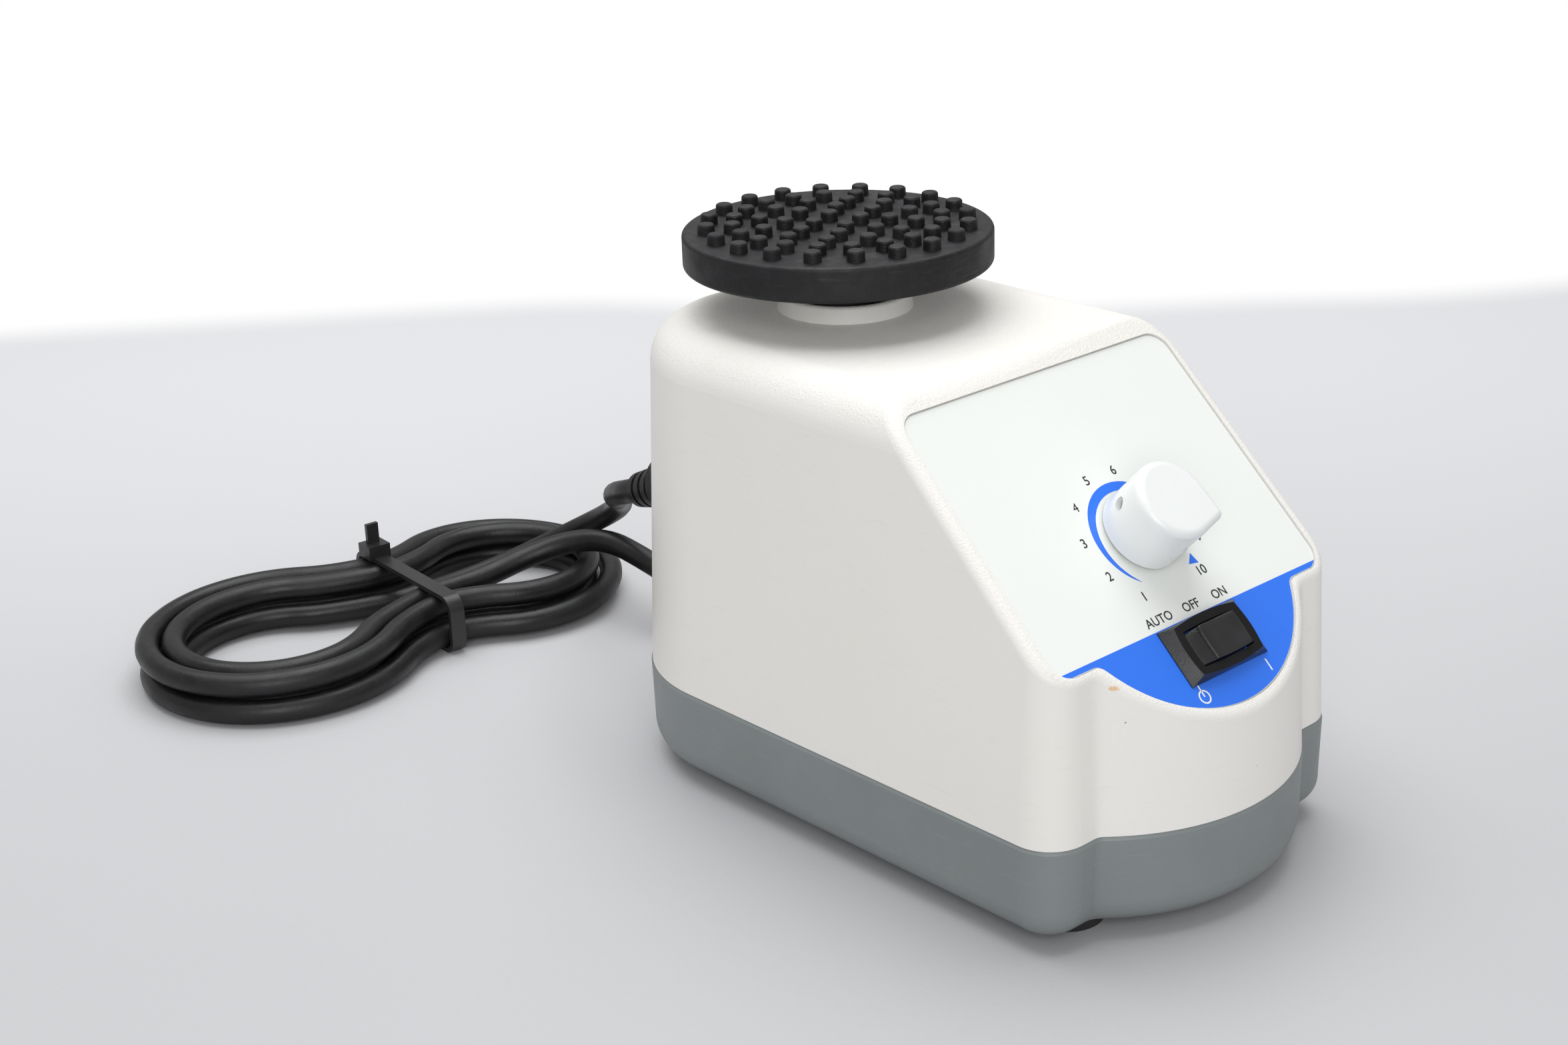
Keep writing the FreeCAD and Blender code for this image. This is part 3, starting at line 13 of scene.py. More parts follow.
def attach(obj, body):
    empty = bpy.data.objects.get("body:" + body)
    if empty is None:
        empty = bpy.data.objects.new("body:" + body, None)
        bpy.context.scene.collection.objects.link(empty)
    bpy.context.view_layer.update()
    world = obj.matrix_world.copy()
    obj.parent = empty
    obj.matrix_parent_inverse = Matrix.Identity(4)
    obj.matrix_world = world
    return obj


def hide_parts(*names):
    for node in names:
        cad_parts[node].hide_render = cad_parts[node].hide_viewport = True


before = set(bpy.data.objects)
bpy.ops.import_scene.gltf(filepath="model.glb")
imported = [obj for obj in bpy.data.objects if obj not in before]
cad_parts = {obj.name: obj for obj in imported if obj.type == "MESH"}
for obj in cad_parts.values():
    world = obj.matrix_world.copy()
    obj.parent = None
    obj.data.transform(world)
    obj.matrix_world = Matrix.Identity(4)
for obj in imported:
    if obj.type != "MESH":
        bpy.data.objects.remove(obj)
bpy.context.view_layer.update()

bl_info = {
    "name": "Vortex mixer looks",
    "version": (1, 0, 0),
    "blender": (4, 5, 0),
    "location": "View3D > Sidebar > Mixer",
    "description": "Dresses the built pieces of a bench vortex mixer",
    "category": "Object",
}

MM = 0.001
CURVE_STEPS = 6

# The sloped panel, as in the part: x across, s down the slope from its upper reference line
PANEL_ANGLE = math.radians(43.5)
PANEL_ORIGIN = Vector((0.0, -10.38, 121.05)) * MM
DIAL_S = 56.7
SWITCH_S = 86.6

# The cord's route, as in the part
CORD_DIAMETER = 6.7
RELIEF_POINT = (-22.0, 83.0, 65.6)
RELIEF_DROP = math.radians(20.0)
RELIEF_OUT = 18.0
LEAD_STRAIGHT = 8.0
LEAD_POINTS = [(-14.5, 121.5, 50.5), (-4.5, 133.5, 43.5), (6.3, 144.6, 36.0), (11.8, 157.5, 28.0),
               (10.9, 171.0, 20.0), (4.0, 182.6, 12.5), (-7.4, 189.8, 7.3)]
LEAD_LAST_RUN = 14.0
TAIL_FIRST_RUN = 13.5
TAIL_POINTS = [(-8.8, 173.4, 15.5), (2.0, 166.0, 19.5), (7.6, 154.0, 21.5), (8.5, 140.0, 19.5),
               (10.5, 126.0, 15.5), (17.5, 115.5, 12.8)]
TAIL_LAST_RUN = 13.5
PLUG_END = (43.5, 109.0, 11.5)
HANK_PLACE = (-42.0, 186.0)
HANK_TURN = math.radians(-4.0)
HANK_LEFT = (40.0, 43.0)
HANK_RIGHT = (33.0, 32.0)
HANK_WAIST = 20.0
HANK_TURNS = 3.5
HANK_STEP = 7.4
HANK_LAYER = 7.4
HANK_LIFT = 1.6
HANK_FLOOR_GAP = 0.1
HANK_POINTS_PER_TURN = 32


class MixerCaseSettings(bpy.types.PropertyGroup):
    """Finish of the case and its base."""
    white: FloatVectorProperty(
        name="Case white", description="Colour of the moulded case", subtype="COLOR", size=3,
        default=(0.80, 0.785, 0.755), min=0.0, max=1.0)
    grey: FloatVectorProperty(
        name="Base grey", description="Colour of the moulded base", subtype="COLOR", size=3,
        default=(0.215, 0.235, 0.238), min=0.0, max=1.0)
    grain: FloatProperty(
        name="Grain", description="Spacing of the blasted texture on the case", unit="LENGTH",
        default=0.00045, min=0.0001, max=0.005)
    specks: FloatProperty(
        name="Specks", description="Share of cells that hold a small mark", subtype="FACTOR",
        default=0.05, min=0.0, max=1.0)


class MixerPanelSettings(bpy.types.PropertyGroup):
    """Print on the control panel."""
    film: FloatVectorProperty(
        name="Film", description="Colour of the panel's film", subtype="COLOR", size=3,
        default=(0.79, 0.81, 0.78), min=0.0, max=1.0)
    blue: FloatVectorProperty(
        name="Blue", description="Colour of the blue print", subtype="COLOR", size=3,
        default=(0.022, 0.165, 0.80), min=0.0, max=1.0)
    ink_height: FloatProperty(
        name="Ink height", description="How far the print stands off the film", unit="LENGTH",
        default=0.00005, min=0.00001, max=0.001)
    number_height: FloatProperty(
        name="Number height", description="Height of the dial's numbers", unit="LENGTH",
        default=0.0023, min=0.0005, max=0.02)
    word_height: FloatProperty(
        name="Word height", description="Height of the words at the switch", unit="LENGTH",
        default=0.0022, min=0.0005, max=0.02)


class MixerHeadSettings(bpy.types.PropertyGroup):
    """Finish of the rubber platform."""
    rubber: FloatVectorProperty(
        name="Rubber", description="Colour of the platform's rubber", subtype="COLOR", size=3,
        default=(0.0045, 0.0045, 0.0052), min=0.0, max=1.0)
    dust: FloatProperty(
        name="Dust", description="How much dust lies on the rubber", subtype="FACTOR",
        default=0.22, min=0.0, max=1.0)


class MixerCordSettings(bpy.types.PropertyGroup):
    """Mains cord."""
    jacket: FloatVectorProperty(
        name="Jacket", description="Colour of the cord's jacket", subtype="COLOR", size=3,
        default=(0.005, 0.005, 0.0055), min=0.0, max=1.0)
    sides: IntProperty(
        name="Sides", description="Steps round a quarter of the cord", default=6, min=2, max=16)


class MixerStageSettings(bpy.types.PropertyGroup):
    """Floor, lamps and camera."""
    floor: FloatVectorProperty(
        name="Floor", description="Colour of the floor", subtype="COLOR", size=3,
        default=(0.485, 0.485, 0.497), min=0.0, max=1.0)
    key: FloatProperty(
        name="Key lamp", description="Power of the soft lamp overhead", unit="POWER", default=16.5, min=0.0)
    fill: FloatProperty(
        name="Fill lamp", description="Power of the soft lamp at the front", unit="POWER",
        default=8.5, min=0.0)
    sky: FloatProperty(
        name="Sky", description="Strength of the light from all round", default=0.46, min=0.0, max=5.0)
    camera: FloatVectorProperty(
        name="Camera", description="Place of the camera", subtype="TRANSLATION", size=3,
        default=(-0.399209, -0.379105, 0.288110))
    azimuth: FloatProperty(
        name="Azimuth", description="Direction of the camera round the object", subtype="ANGLE",
        default=math.radians(-41.76))
    elevation: FloatProperty(
        name="Elevation", description="Height of the camera over the object", subtype="ANGLE",
        default=math.radians(21.48))
    roll: FloatProperty(
        name="Roll", description="Tilt of the picture", subtype="ANGLE", default=math.radians(-1.96))
    lens: FloatProperty(
        name="Lens", description="Focal length on a sensor 36 mm wide", default=56.157, min=1.0)


def node(tree, kind, inputs=None, **settings):
    """Add a node; an input is a value or the socket that feeds it."""
    item = tree.nodes.new(kind)
    for key, value in settings.items():
        setattr(item, key, value)
    for key, value in (inputs or {}).items():
        if isinstance(value, bpy.types.NodeSocket):
            tree.links.new(value, item.inputs[key])
        else:
            item.inputs[key].default_value = value
    return item


def math_node(tree, operation, a, b):
    """Result of a calculation with two inputs."""
    return node(tree, "ShaderNodeMath", {0: a, 1: b}, operation=operation).outputs[0]


def ramp(tree, value, low, high, from_value=0.0, to_value=1.0):
    """Smooth step of a value between two limits."""
    item = node(tree, "ShaderNodeMapRange",
                {"Value": value, "From Min": low, "From Max": high, "To Min": from_value, "To Max": to_value},
                interpolation_type="SMOOTHSTEP")
    return item.outputs[0]


def colour(rgb, shade=1.0):
    """Opaque colour, shaded by a factor."""
    return (rgb[0] * shade, rgb[1] * shade, rgb[2] * shade, 1.0)


def mix(tree, factor, a, b):
    """Colour between two colours."""
    item = tree.nodes.new("ShaderNodeMix")
    item.data_type = "RGBA"
    for index, value in ((0, factor), (6, a), (7, b)):
        if isinstance(value, bpy.types.NodeSocket):
            tree.links.new(value, item.inputs[index])
        else:
            item.inputs[index].default_value = value
    return item.outputs[2]


def new_group(name, inputs, outputs):
    """Empty shader node group with named value inputs and outputs; returns the tree and both ends."""
    tree = bpy.data.node_groups.new(name, "ShaderNodeTree")
    for label, default in inputs:
        socket = tree.interface.new_socket(label, in_out="INPUT", socket_type="NodeSocketFloat")
        socket.default_value = default
    for label in outputs:
        tree.interface.new_socket(label, in_out="OUTPUT", socket_type="NodeSocketFloat")
    return tree, tree.nodes.new("NodeGroupInput"), tree.nodes.new("NodeGroupOutput")


# Shared effects, in object space
SPECK_WOBBLE = 1800.0
DUST_ON_WALLS = 0.5
DUST_ON_TOPS = 0.75
SCUFF_STRETCH = (90.0, 90.0, 1400.0)


def grain_group():
    """Fine moulded grain and broad tone, in object space."""
    tree, start, end = new_group("Moulded grain", [("Fine", 2000.0), ("Broad", 25.0)], ["Grain", "Tone"])
    place = node(tree, "ShaderNodeTexCoord").outputs["Object"]
    fine = node(tree, "ShaderNodeTexNoise", {"Vector": place, "Scale": start.outputs["Fine"], "Detail": 2.0})
    broad = node(tree, "ShaderNodeTexNoise",
                 {"Vector": place, "Scale": start.outputs["Broad"], "Detail": 5.0})
    tree.links.new(fine.outputs[0], end.inputs["Grain"])
    tree.links.new(ramp(tree, broad.outputs[0], 0.3, 0.7), end.inputs["Tone"])
    return tree


def speck_group():
    """Small sparse marks: round cells, of which only a share is used, broken up by noise."""
    tree, start, end = new_group("Specks", [("Cells", 200.0), ("Share", 0.05), ("Size", 0.06)], ["Mark"])
    place = node(tree, "ShaderNodeTexCoord").outputs["Object"]
    wobble = node(tree, "ShaderNodeTexNoise", {"Vector": place, "Scale": SPECK_WOBBLE, "Detail": 1.0})
    cells = node(tree, "ShaderNodeTexVoronoi", {"Vector": place, "Scale": start.outputs["Cells"]})
    split = node(tree, "ShaderNodeSeparateColor", {"Color": cells.outputs["Color"]})
    chosen = math_node(tree, "LESS_THAN", split.outputs[0], start.outputs["Share"])
    size = math_node(tree, "MULTIPLY", start.outputs["Size"], wobble.outputs[0])
    size = math_node(tree, "MULTIPLY", size, split.outputs[1])
    near = math_node(tree, "LESS_THAN", cells.outputs["Distance"], size)
    tree.links.new(math_node(tree, "MULTIPLY", chosen, near), end.inputs["Mark"])
    return tree


def dust_group():
    """Dust that settles on what faces up, and scuffs drawn out along one direction."""
    tree, start, end = new_group("Dust and scuffs", [("Cells", 300.0), ("Amount", 0.3)],
                                 ["Dust", "Scuff", "Up"])
    place = node(tree, "ShaderNodeTexCoord").outputs["Object"]
    normal = node(tree, "ShaderNodeNewGeometry").outputs["Normal"]
    up = ramp(tree, node(tree, "ShaderNodeSeparateXYZ", {0: normal}).outputs["Z"], 0.1, 0.9)
    cloud = node(tree, "ShaderNodeTexNoise",
                 {"Vector": place, "Scale": start.outputs["Cells"], "Detail": 6.0, "Roughness": 0.7})
    settled = math_node(tree, "MULTIPLY", ramp(tree, cloud.outputs[0], 0.42, 0.75), start.outputs["Amount"])
    more = math_node(tree, "ADD", math_node(tree, "MULTIPLY", up, DUST_ON_TOPS), DUST_ON_WALLS)
    lying = math_node(tree, "MULTIPLY", settled, more)
    long_way = node(tree, "ShaderNodeMapping", {"Vector": place, "Scale": SCUFF_STRETCH})
    streak = node(tree, "ShaderNodeTexNoise", {"Vector": long_way.outputs[0], "Scale": 1.0, "Detail": 4.0})
    scuff = math_node(tree, "MULTIPLY", ramp(tree, streak.outputs[0], 0.62, 0.72), start.outputs["Amount"])
    tree.links.new(lying, end.inputs["Dust"])
    tree.links.new(scuff, end.inputs["Scuff"])
    tree.links.new(up, end.inputs["Up"])
    return tree


GROUPS = {}


def use_group(tree, name, values):
    """Place a shared group in a material, with its own values."""
    makers = {"grain": grain_group, "specks": speck_group, "dust": dust_group}
    if name not in GROUPS:
        GROUPS[name] = makers[name]()
    return node(tree, "ShaderNodeGroup", values, node_tree=GROUPS[name]).outputs


def new_material(name, roughness, **constants):
    """Material with a Principled shader; constants stay on the shader's own sockets."""
    material = bpy.data.materials.new(name)
    material.use_nodes = True
    tree = material.node_tree
    shader = tree.nodes["Principled BSDF"]
    shader.inputs["Roughness"].default_value = roughness
    for key, value in constants.items():
        shader.inputs[key.replace("_", " ")].default_value = value
    return material, tree, shader


def bump(tree, shader, height, distance, strength=1.0):
    """Feed a height to the shader's normal."""
    item = node(tree, "ShaderNodeBump", {"Height": height, "Distance": distance, "Strength": strength})
    tree.links.new(item.outputs[0], shader.inputs["Normal"])


# Plain mouldings and inks: colour, roughness, size and depth of the grain, shade and number of broad patches
MOULDINGS = {
    "foot_rubber": ((0.014, 0.014, 0.014), 0.62, 0.0005, 0.00008, 1.6, 80.0),
    "blue_ink": (None, 0.36, 0.0004, 0.00002, 0.96, 40.0),
    "black_ink": ((0.02, 0.02, 0.022), 0.45, 0.0004, 0.00002, 1.4, 60.0),
    "white_ink": ((0.82, 0.84, 0.86), 0.4, 0.0004, 0.00002, 0.97, 60.0),
    "knob_white": ((0.80, 0.815, 0.805), 0.3, 0.0006, 0.00002, 0.975, 60.0),
    "switch_black": ((0.009, 0.009, 0.010), 0.36, 0.00035, 0.00006, 1.7, 110.0),
    "rim_black": ((0.005, 0.005, 0.0055), 0.6, 0.0004, 0.00003, 1.5, 110.0),
    "neck_black": ((0.012, 0.012, 0.012), 0.36, 0.0006, 0.00004, 1.6, 90.0),
    "cast_iron": ((0.08, 0.08, 0.085), 0.6, 0.0008, 0.0002, 0.7, 60.0),
    "fan_black": ((0.02, 0.02, 0.02), 0.5, 0.0005, 0.00004, 1.5, 60.0),
    "board_green": ((0.02, 0.12, 0.045), 0.35, 0.0006, 0.00002, 0.8, 120.0),
    "tie_nylon": ((0.014, 0.014, 0.014), 0.36, 0.0008, 0.00003, 1.5, 80.0),
}
# Bare metals: colour and roughness
METALS = {
    "zinc_steel": ((0.62, 0.62, 0.64), 0.32),
    "bright_steel": ((0.66, 0.66, 0.67), 0.28),
    "tinned_brass": ((0.72, 0.6, 0.34), 0.3),
    "cast_plate": ((0.5, 0.5, 0.51), 0.45),
    "head_steel": ((0.64, 0.64, 0.66), 0.28),
    "motor_steel": ((0.6, 0.6, 0.62), 0.3),
    "cast_aluminium": ((0.68, 0.68, 0.69), 0.5),
    "laminations": ((0.22, 0.22, 0.24), 0.5),
    "enamelled_copper": ((0.62, 0.26, 0.10), 0.32),
    "plated_brass": ((0.78, 0.66, 0.40), 0.25),
}
METAL_GRAIN = 1800.0
METAL_PATCHES = 60.0
METAL_SHADE = 0.8


def moulded(name, base=None, **constants):
    """Moulded plastic, rubber or ink: fine grain, broad tone and a varied gloss."""
    tint, roughness, grain_size, grain_depth, tone_shade, broad = MOULDINGS[name]
    if base is None:
        base = tint
    material, tree, shader = new_material(name, roughness, **constants)
    grain = use_group(tree, "grain", {"Fine": 1.0 / grain_size, "Broad": broad})
    tone = mix(tree, grain["Tone"], colour(base), colour(base, tone_shade))
    tree.links.new(tone, shader.inputs["Base Color"])
    gloss = ramp(tree, grain["Tone"], 0.0, 1.0, roughness - 0.04, roughness + 0.05)
    tree.links.new(gloss, shader.inputs["Roughness"])
    bump(tree, shader, grain["Grain"], grain_depth)
    return material


def metal(name):
    """Bare metal with fine marks and patches of duller tone."""
    base, roughness = METALS[name]
    material, tree, shader = new_material(name, roughness, Metallic=1.0)
    grain = use_group(tree, "grain", {"Fine": METAL_GRAIN, "Broad": METAL_PATCHES})
    tone = mix(tree, grain["Tone"], colour(base), colour(base, METAL_SHADE))
    tree.links.new(tone, shader.inputs["Base Color"])
    gloss = ramp(tree, grain["Grain"], 0.2, 0.8, roughness - 0.08, roughness + 0.1)
    tree.links.new(gloss, shader.inputs["Roughness"])
    bump(tree, shader, grain["Grain"], 0.00003)
    return material


# Marks on the case and the film; the stain is a flat blot below the panel's left corner
CASE_YELLOWED = (0.80, 0.775, 0.73)
CASE_SCUFF = (0.62, 0.59, 0.55)
STAIN_PLACE = Vector((-33.5, -73.6, 61.5)) * MM
STAIN_SHAPE = Vector((1.0, 1.0, 2.2))
STAIN_REACH = 2.2 * MM
STAIN_RAGGED = 1.6 * MM
STAIN_BROWN = (0.70, 0.36, 0.08, 1.0)
SPECK_BROWN = (0.20, 0.15, 0.10, 1.0)


def case_white(settings):
    """Warm white moulding: blasted texture where it faces up, smoother walls, faint yellowing and marks."""
    material, tree, shader = new_material("case_white", 0.45, Specular_IOR_Level=0.45)
    grain = use_group(tree, "grain", {"Fine": 1.0 / settings.grain, "Broad": 22.0})
    dust = use_group(tree, "dust", {"Cells": 120.0, "Amount": 0.5})
    specks = use_group(tree, "specks", {"Cells": 190.0, "Share": settings.specks, "Size": 0.13})
    base = mix(tree, grain["Tone"], colour(settings.white), colour(CASE_YELLOWED))
    base = mix(tree, math_node(tree, "MULTIPLY", dust["Scuff"], 0.22), base, colour(CASE_SCUFF))
    base = mix(tree, math_node(tree, "MULTIPLY", specks["Mark"], 0.75), base, SPECK_BROWN)
    place = node(tree, "ShaderNodeTexCoord").outputs["Object"]
    flat = node(tree, "ShaderNodeVectorMath", {0: place, 1: STAIN_SHAPE}, operation="MULTIPLY").outputs[0]
    away = node(tree, "ShaderNodeVectorMath", {0: flat, 1: STAIN_PLACE * STAIN_SHAPE}, operation="DISTANCE")
    away = away.outputs["Value"]
    ragged = math_node(tree, "MULTIPLY", grain["Grain"], STAIN_RAGGED)
    away = math_node(tree, "ADD", away, ragged)
    base = mix(tree, ramp(tree, away, STAIN_REACH * 0.8, STAIN_REACH * 1.3, 0.75, 0.0), base, STAIN_BROWN)
    tree.links.new(base, shader.inputs["Base Color"])
    tree.links.new(ramp(tree, dust["Up"], 0.0, 1.0, 0.38, 0.58), shader.inputs["Roughness"])
    depth = math_node(tree, "MULTIPLY", grain["Grain"], ramp(tree, dust["Up"], 0.0, 0.6, 0.2, 1.0))
    bump(tree, shader, depth, 0.0002)
    return material


def base_grey(settings):
    """Satin grey moulding with faint rubs."""
    material, tree, shader = new_material("base_grey", 0.42, Specular_IOR_Level=0.4)
    grain = use_group(tree, "grain", {"Fine": 2600.0, "Broad": 30.0})
    dust = use_group(tree, "dust", {"Cells": 160.0, "Amount": 0.5})
    specks = use_group(tree, "specks", {"Cells": 240.0, "Share": 0.03, "Size": 0.12})
    base = mix(tree, grain["Tone"], colour(settings.grey), colour(settings.grey, 0.93))
    base = mix(tree, math_node(tree, "MULTIPLY", dust["Scuff"], 0.3), base, colour(settings.grey, 1.5))
    base = mix(tree, math_node(tree, "MULTIPLY", specks["Mark"], 0.5), base, colour(settings.grey, 0.35))
    tree.links.new(base, shader.inputs["Base Color"])
    tree.links.new(ramp(tree, grain["Tone"], 0.0, 1.0, 0.36, 0.46), shader.inputs["Roughness"])
    bump(tree, shader, grain["Grain"], 0.00005)
    return material


RUBBER_DUST = (0.20, 0.20, 0.21)
RUBBER_SCUFF = (0.16, 0.16, 0.17)
RUBBER_SPECK = (0.42, 0.42, 0.41)
JACKET_DUST = (0.14, 0.14, 0.14)


def platform_rubber(settings):
    """Matt black rubber with dust in its surface, pale scuffs and specks."""
    material, tree, shader = new_material("platform_rubber", 0.6, Specular_IOR_Level=0.35)
    grain = use_group(tree, "grain", {"Fine": 1500.0, "Broad": 90.0})
    dust = use_group(tree, "dust", {"Cells": 260.0, "Amount": settings.dust})
    specks = use_group(tree, "specks", {"Cells": 420.0, "Share": 0.10, "Size": 0.16})
    base = mix(tree, grain["Tone"], colour(settings.rubber), colour(settings.rubber, 1.9))
    base = mix(tree, math_node(tree, "MULTIPLY", dust["Dust"], 0.30), base, colour(RUBBER_DUST))
    base = mix(tree, math_node(tree, "MULTIPLY", dust["Scuff"], 0.4), base, colour(RUBBER_SCUFF))
    base = mix(tree, math_node(tree, "MULTIPLY", specks["Mark"], 0.6), base, colour(RUBBER_SPECK))
    tree.links.new(base, shader.inputs["Base Color"])
    tree.links.new(ramp(tree, grain["Tone"], 0.0, 1.0, 0.48, 0.66), shader.inputs["Roughness"])
    bump(tree, shader, grain["Grain"], 0.0001)
    return material


def cord_jacket(settings):
    """Black rubber jacket with a satin sheen, faint rubs and a little dust."""
    material, tree, shader = new_material("cord_jacket", 0.42, Specular_IOR_Level=0.4)
    grain = use_group(tree, "grain", {"Fine": 1400.0, "Broad": 70.0})
    dust = use_group(tree, "dust", {"Cells": 380.0, "Amount": 0.3})
    base = mix(tree, grain["Tone"], colour(settings.jacket), colour(settings.jacket, 1.8))
    base = mix(tree, math_node(tree, "MULTIPLY", dust["Dust"], 0.12), base, colour(JACKET_DUST))
    tree.links.new(base, shader.inputs["Base Color"])
    tree.links.new(ramp(tree, grain["Tone"], 0.0, 1.0, 0.34, 0.5), shader.inputs["Roughness"])
    bump(tree, shader, grain["Grain"], 0.00006)
    return material


def panel_film(settings):
    """Pale satin film of the control panel."""
    material, tree, shader = new_material("panel_film", 0.33, Specular_IOR_Level=0.45)
    grain = use_group(tree, "grain", {"Fine": 3200.0, "Broad": 16.0})
    specks = use_group(tree, "specks", {"Cells": 230.0, "Share": 0.02, "Size": 0.10})
    base = mix(tree, grain["Tone"], colour(settings.film), colour(settings.film, 0.975))
    base = mix(tree, math_node(tree, "MULTIPLY", specks["Mark"], 0.5), base, SPECK_BROWN)
    tree.links.new(base, shader.inputs["Base Color"])
    tree.links.new(ramp(tree, grain["Tone"], 0.0, 1.0, 0.28, 0.38), shader.inputs["Roughness"])
    bump(tree, shader, grain["Grain"], 0.00003)
    return material


def dress(material, *nodes):
    """Give built pieces a material."""
    for name in nodes:
        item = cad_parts[name]
        item.data.materials.clear()
        item.data.materials.append(material)


def panel_matrix():
    """Placement of the panel's own axes: x across, y up the slope, z out of it."""
    return Matrix.Translation(PANEL_ORIGIN) @ Matrix.Rotation(PANEL_ANGLE, 4, "X")


def add_piece(name, mesh, material, body):
    """Link a mesh as a piece that rides on a body."""
    piece = bpy.data.objects.new(name, mesh)
    bpy.context.scene.collection.objects.link(piece)
    mesh.materials.append(material)
    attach(piece, body)
    return piece


def printed_mesh(name, outlines, height):
    """Closed thin mesh on the panel, from outlines in millimetres (x, s)."""
    shape = bmesh.new()
    for outline in outlines:
        foot = [shape.verts.new((x * MM, -s * MM, 0.0)) for x, s in outline]
        face = shape.faces.new(foot)
        raised = bmesh.ops.extrude_face_region(shape, geom=[face])["geom"]
        tops = [v for v in raised if isinstance(v, bmesh.types.BMVert)]
        bmesh.ops.translate(shape, verts=tops, vec=(0.0, 0.0, height))
    bmesh.ops.recalc_face_normals(shape, faces=shape.faces)
    mesh = bpy.data.meshes.new(name)
    shape.to_mesh(mesh)
    shape.free()
    mesh.transform(panel_matrix())
    return mesh


def arc_points(centre, radius, start_deg, end_deg, steps):
    """Points on an arc, in millimetres."""
    points = []
    for i in range(steps + 1):
        turn = math.radians(start_deg + (end_deg - start_deg) * i / steps)
        points.append((centre[0] + radius * math.cos(turn), centre[1] + radius * math.sin(turn)))
    return points


def lettering_mesh(name, words, height):
    """Closed thin mesh of words on the panel: each is its text, place (x, s) and height of capitals."""
    joined = bmesh.new()
    for text, x, s, size in words:
        curve = bpy.data.curves.new(name, "FONT")
        curve.body = text
        curve.align_x = "CENTER"
        curve.align_y = "CENTER"
        curve.size = size / CAPITAL_SHARE
        curve.extrude = height / 2.0
        curve.offset = 0.0 if text in THIN_FIGURES else size * LETTER_WEIGHT
        curve.resolution_u = CURVE_STEPS
        holder = bpy.data.objects.new(name, curve)
        bpy.context.scene.collection.objects.link(holder)
        depsgraph = bpy.context.evaluated_depsgraph_get()
        letters = bpy.data.meshes.new_from_object(holder.evaluated_get(depsgraph))
        letters.transform(Matrix.Translation((x * MM, -s * MM, height / 2.0)))
        joined.from_mesh(letters)
        bpy.data.objects.remove(holder)
        bpy.data.meshes.remove(letters)
        bpy.data.curves.remove(curve)
    bmesh.ops.remove_doubles(joined, verts=joined.verts, dist=1e-7)
    mesh = bpy.data.meshes.new(name)
    joined.to_mesh(mesh)
    joined.free()
    mesh.transform(panel_matrix())
    return mesh


# Print on the panel, in millimetres across and down the slope
CAPITAL_SHARE = 0.7
LETTER_WEIGHT = 0.012
THIN_FIGURES = ("4",)
FIELD_TOP = 79.2
FIELD_SHELF = 80.5
FIELD_CORNER = (40.8, 75.6, 5.0)
FIELD_NOSE = (64.2, 37.0)
FIELD_NOTCH = 3.0
CRESCENT_RADIUS = 13.4
CRESCENT_START = 126.0
CRESCENT_END = 396.0
CRESCENT_THICK = 2.35
CRESCENT_POWER = 0.75
CRESCENT_STEPS = 72
MARKER = [(10.3, 65.8), (11.0, 68.6), (8.0, 68.1)]
NUMBER_DROP = 0.5
NUMBER_RADIUS = 16.8
NUMBER_FIRST = 126.0
NUMBER_STEP = 31.8
NUMBERS = 10
SWITCH_WORDS = [("AUTO", -10.0, 76.9), ("OFF", 1.0, 76.9), ("ON", 11.0, 76.9)]
RING_PLACE = (-11.4, 96.6)
RING_RADIUS = 1.5
RING_LINE = 0.36
STROKE_PLACE = (11.4, 96.4)
STROKE_LENGTH = 3.0


def field_outline():
    """Blue field: a strip along the foot of the panel that widens into the round apron."""
    corner_x, corner_s, corner_r = FIELD_CORNER
    nose_s, nose_r = FIELD_NOSE
    start = math.degrees(math.asin((FIELD_TOP - corner_s) / corner_r))
    end = math.degrees(math.asin((FIELD_SHELF - corner_s) / corner_r))
    right = arc_points((corner_x, corner_s), corner_r - 0.05, start, end, 4)
    notch_s = FIELD_SHELF + FIELD_NOTCH
    notch_x = math.sqrt((nose_r + FIELD_NOTCH) ** 2 - (notch_s - nose_s) ** 2)
    meet = math.degrees(math.atan2(notch_s - nose_s, notch_x))
    right += arc_points((notch_x, notch_s), FIELD_NOTCH, -90.0, meet - 180.0, 8)
    nose = arc_points((0.0, nose_s), nose_r, meet, 180.0 - meet, 48)
    left = [(-x, s) for x, s in reversed(right)]
    return right + nose[1:-1] + left


def crescent_outline():
    """Crescent round the dial: pointed at the lowest and highest number and thickest between them."""
    outer = arc_points((0.0, DIAL_S), CRESCENT_RADIUS, CRESCENT_START, CRESCENT_END, CRESCENT_STEPS)
    inner = []
    for i in range(CRESCENT_STEPS - 1, 0, -1):
        turn = math.radians(CRESCENT_START + (CRESCENT_END - CRESCENT_START) * i / CRESCENT_STEPS)
        thick = CRESCENT_THICK * math.sin(math.pi * i / CRESCENT_STEPS) ** CRESCENT_POWER
        radius = CRESCENT_RADIUS - thick
        inner.append((radius * math.cos(turn), DIAL_S + radius * math.sin(turn)))
    return outer + inner


def ring_outlines(place, radius, line):
    """Ring in two halves, so that each is one plain outline."""
    halves = []
    for start in (-90.0, 90.0):
        outer = arc_points(place, radius + line / 2.0, start, start + 180.0, 24)
        inner = arc_points(place, radius - line / 2.0, start + 180.0, start, 24)
        halves.append(outer + inner)
    return halves


def stroke_outline(place, length, line):
    """Upright stroke."""
    x, s = place
    return [(x - line / 2.0, s - length / 2.0), (x + line / 2.0, s - length / 2.0),
            (x + line / 2.0, s + length / 2.0), (x - line / 2.0, s + length / 2.0)]


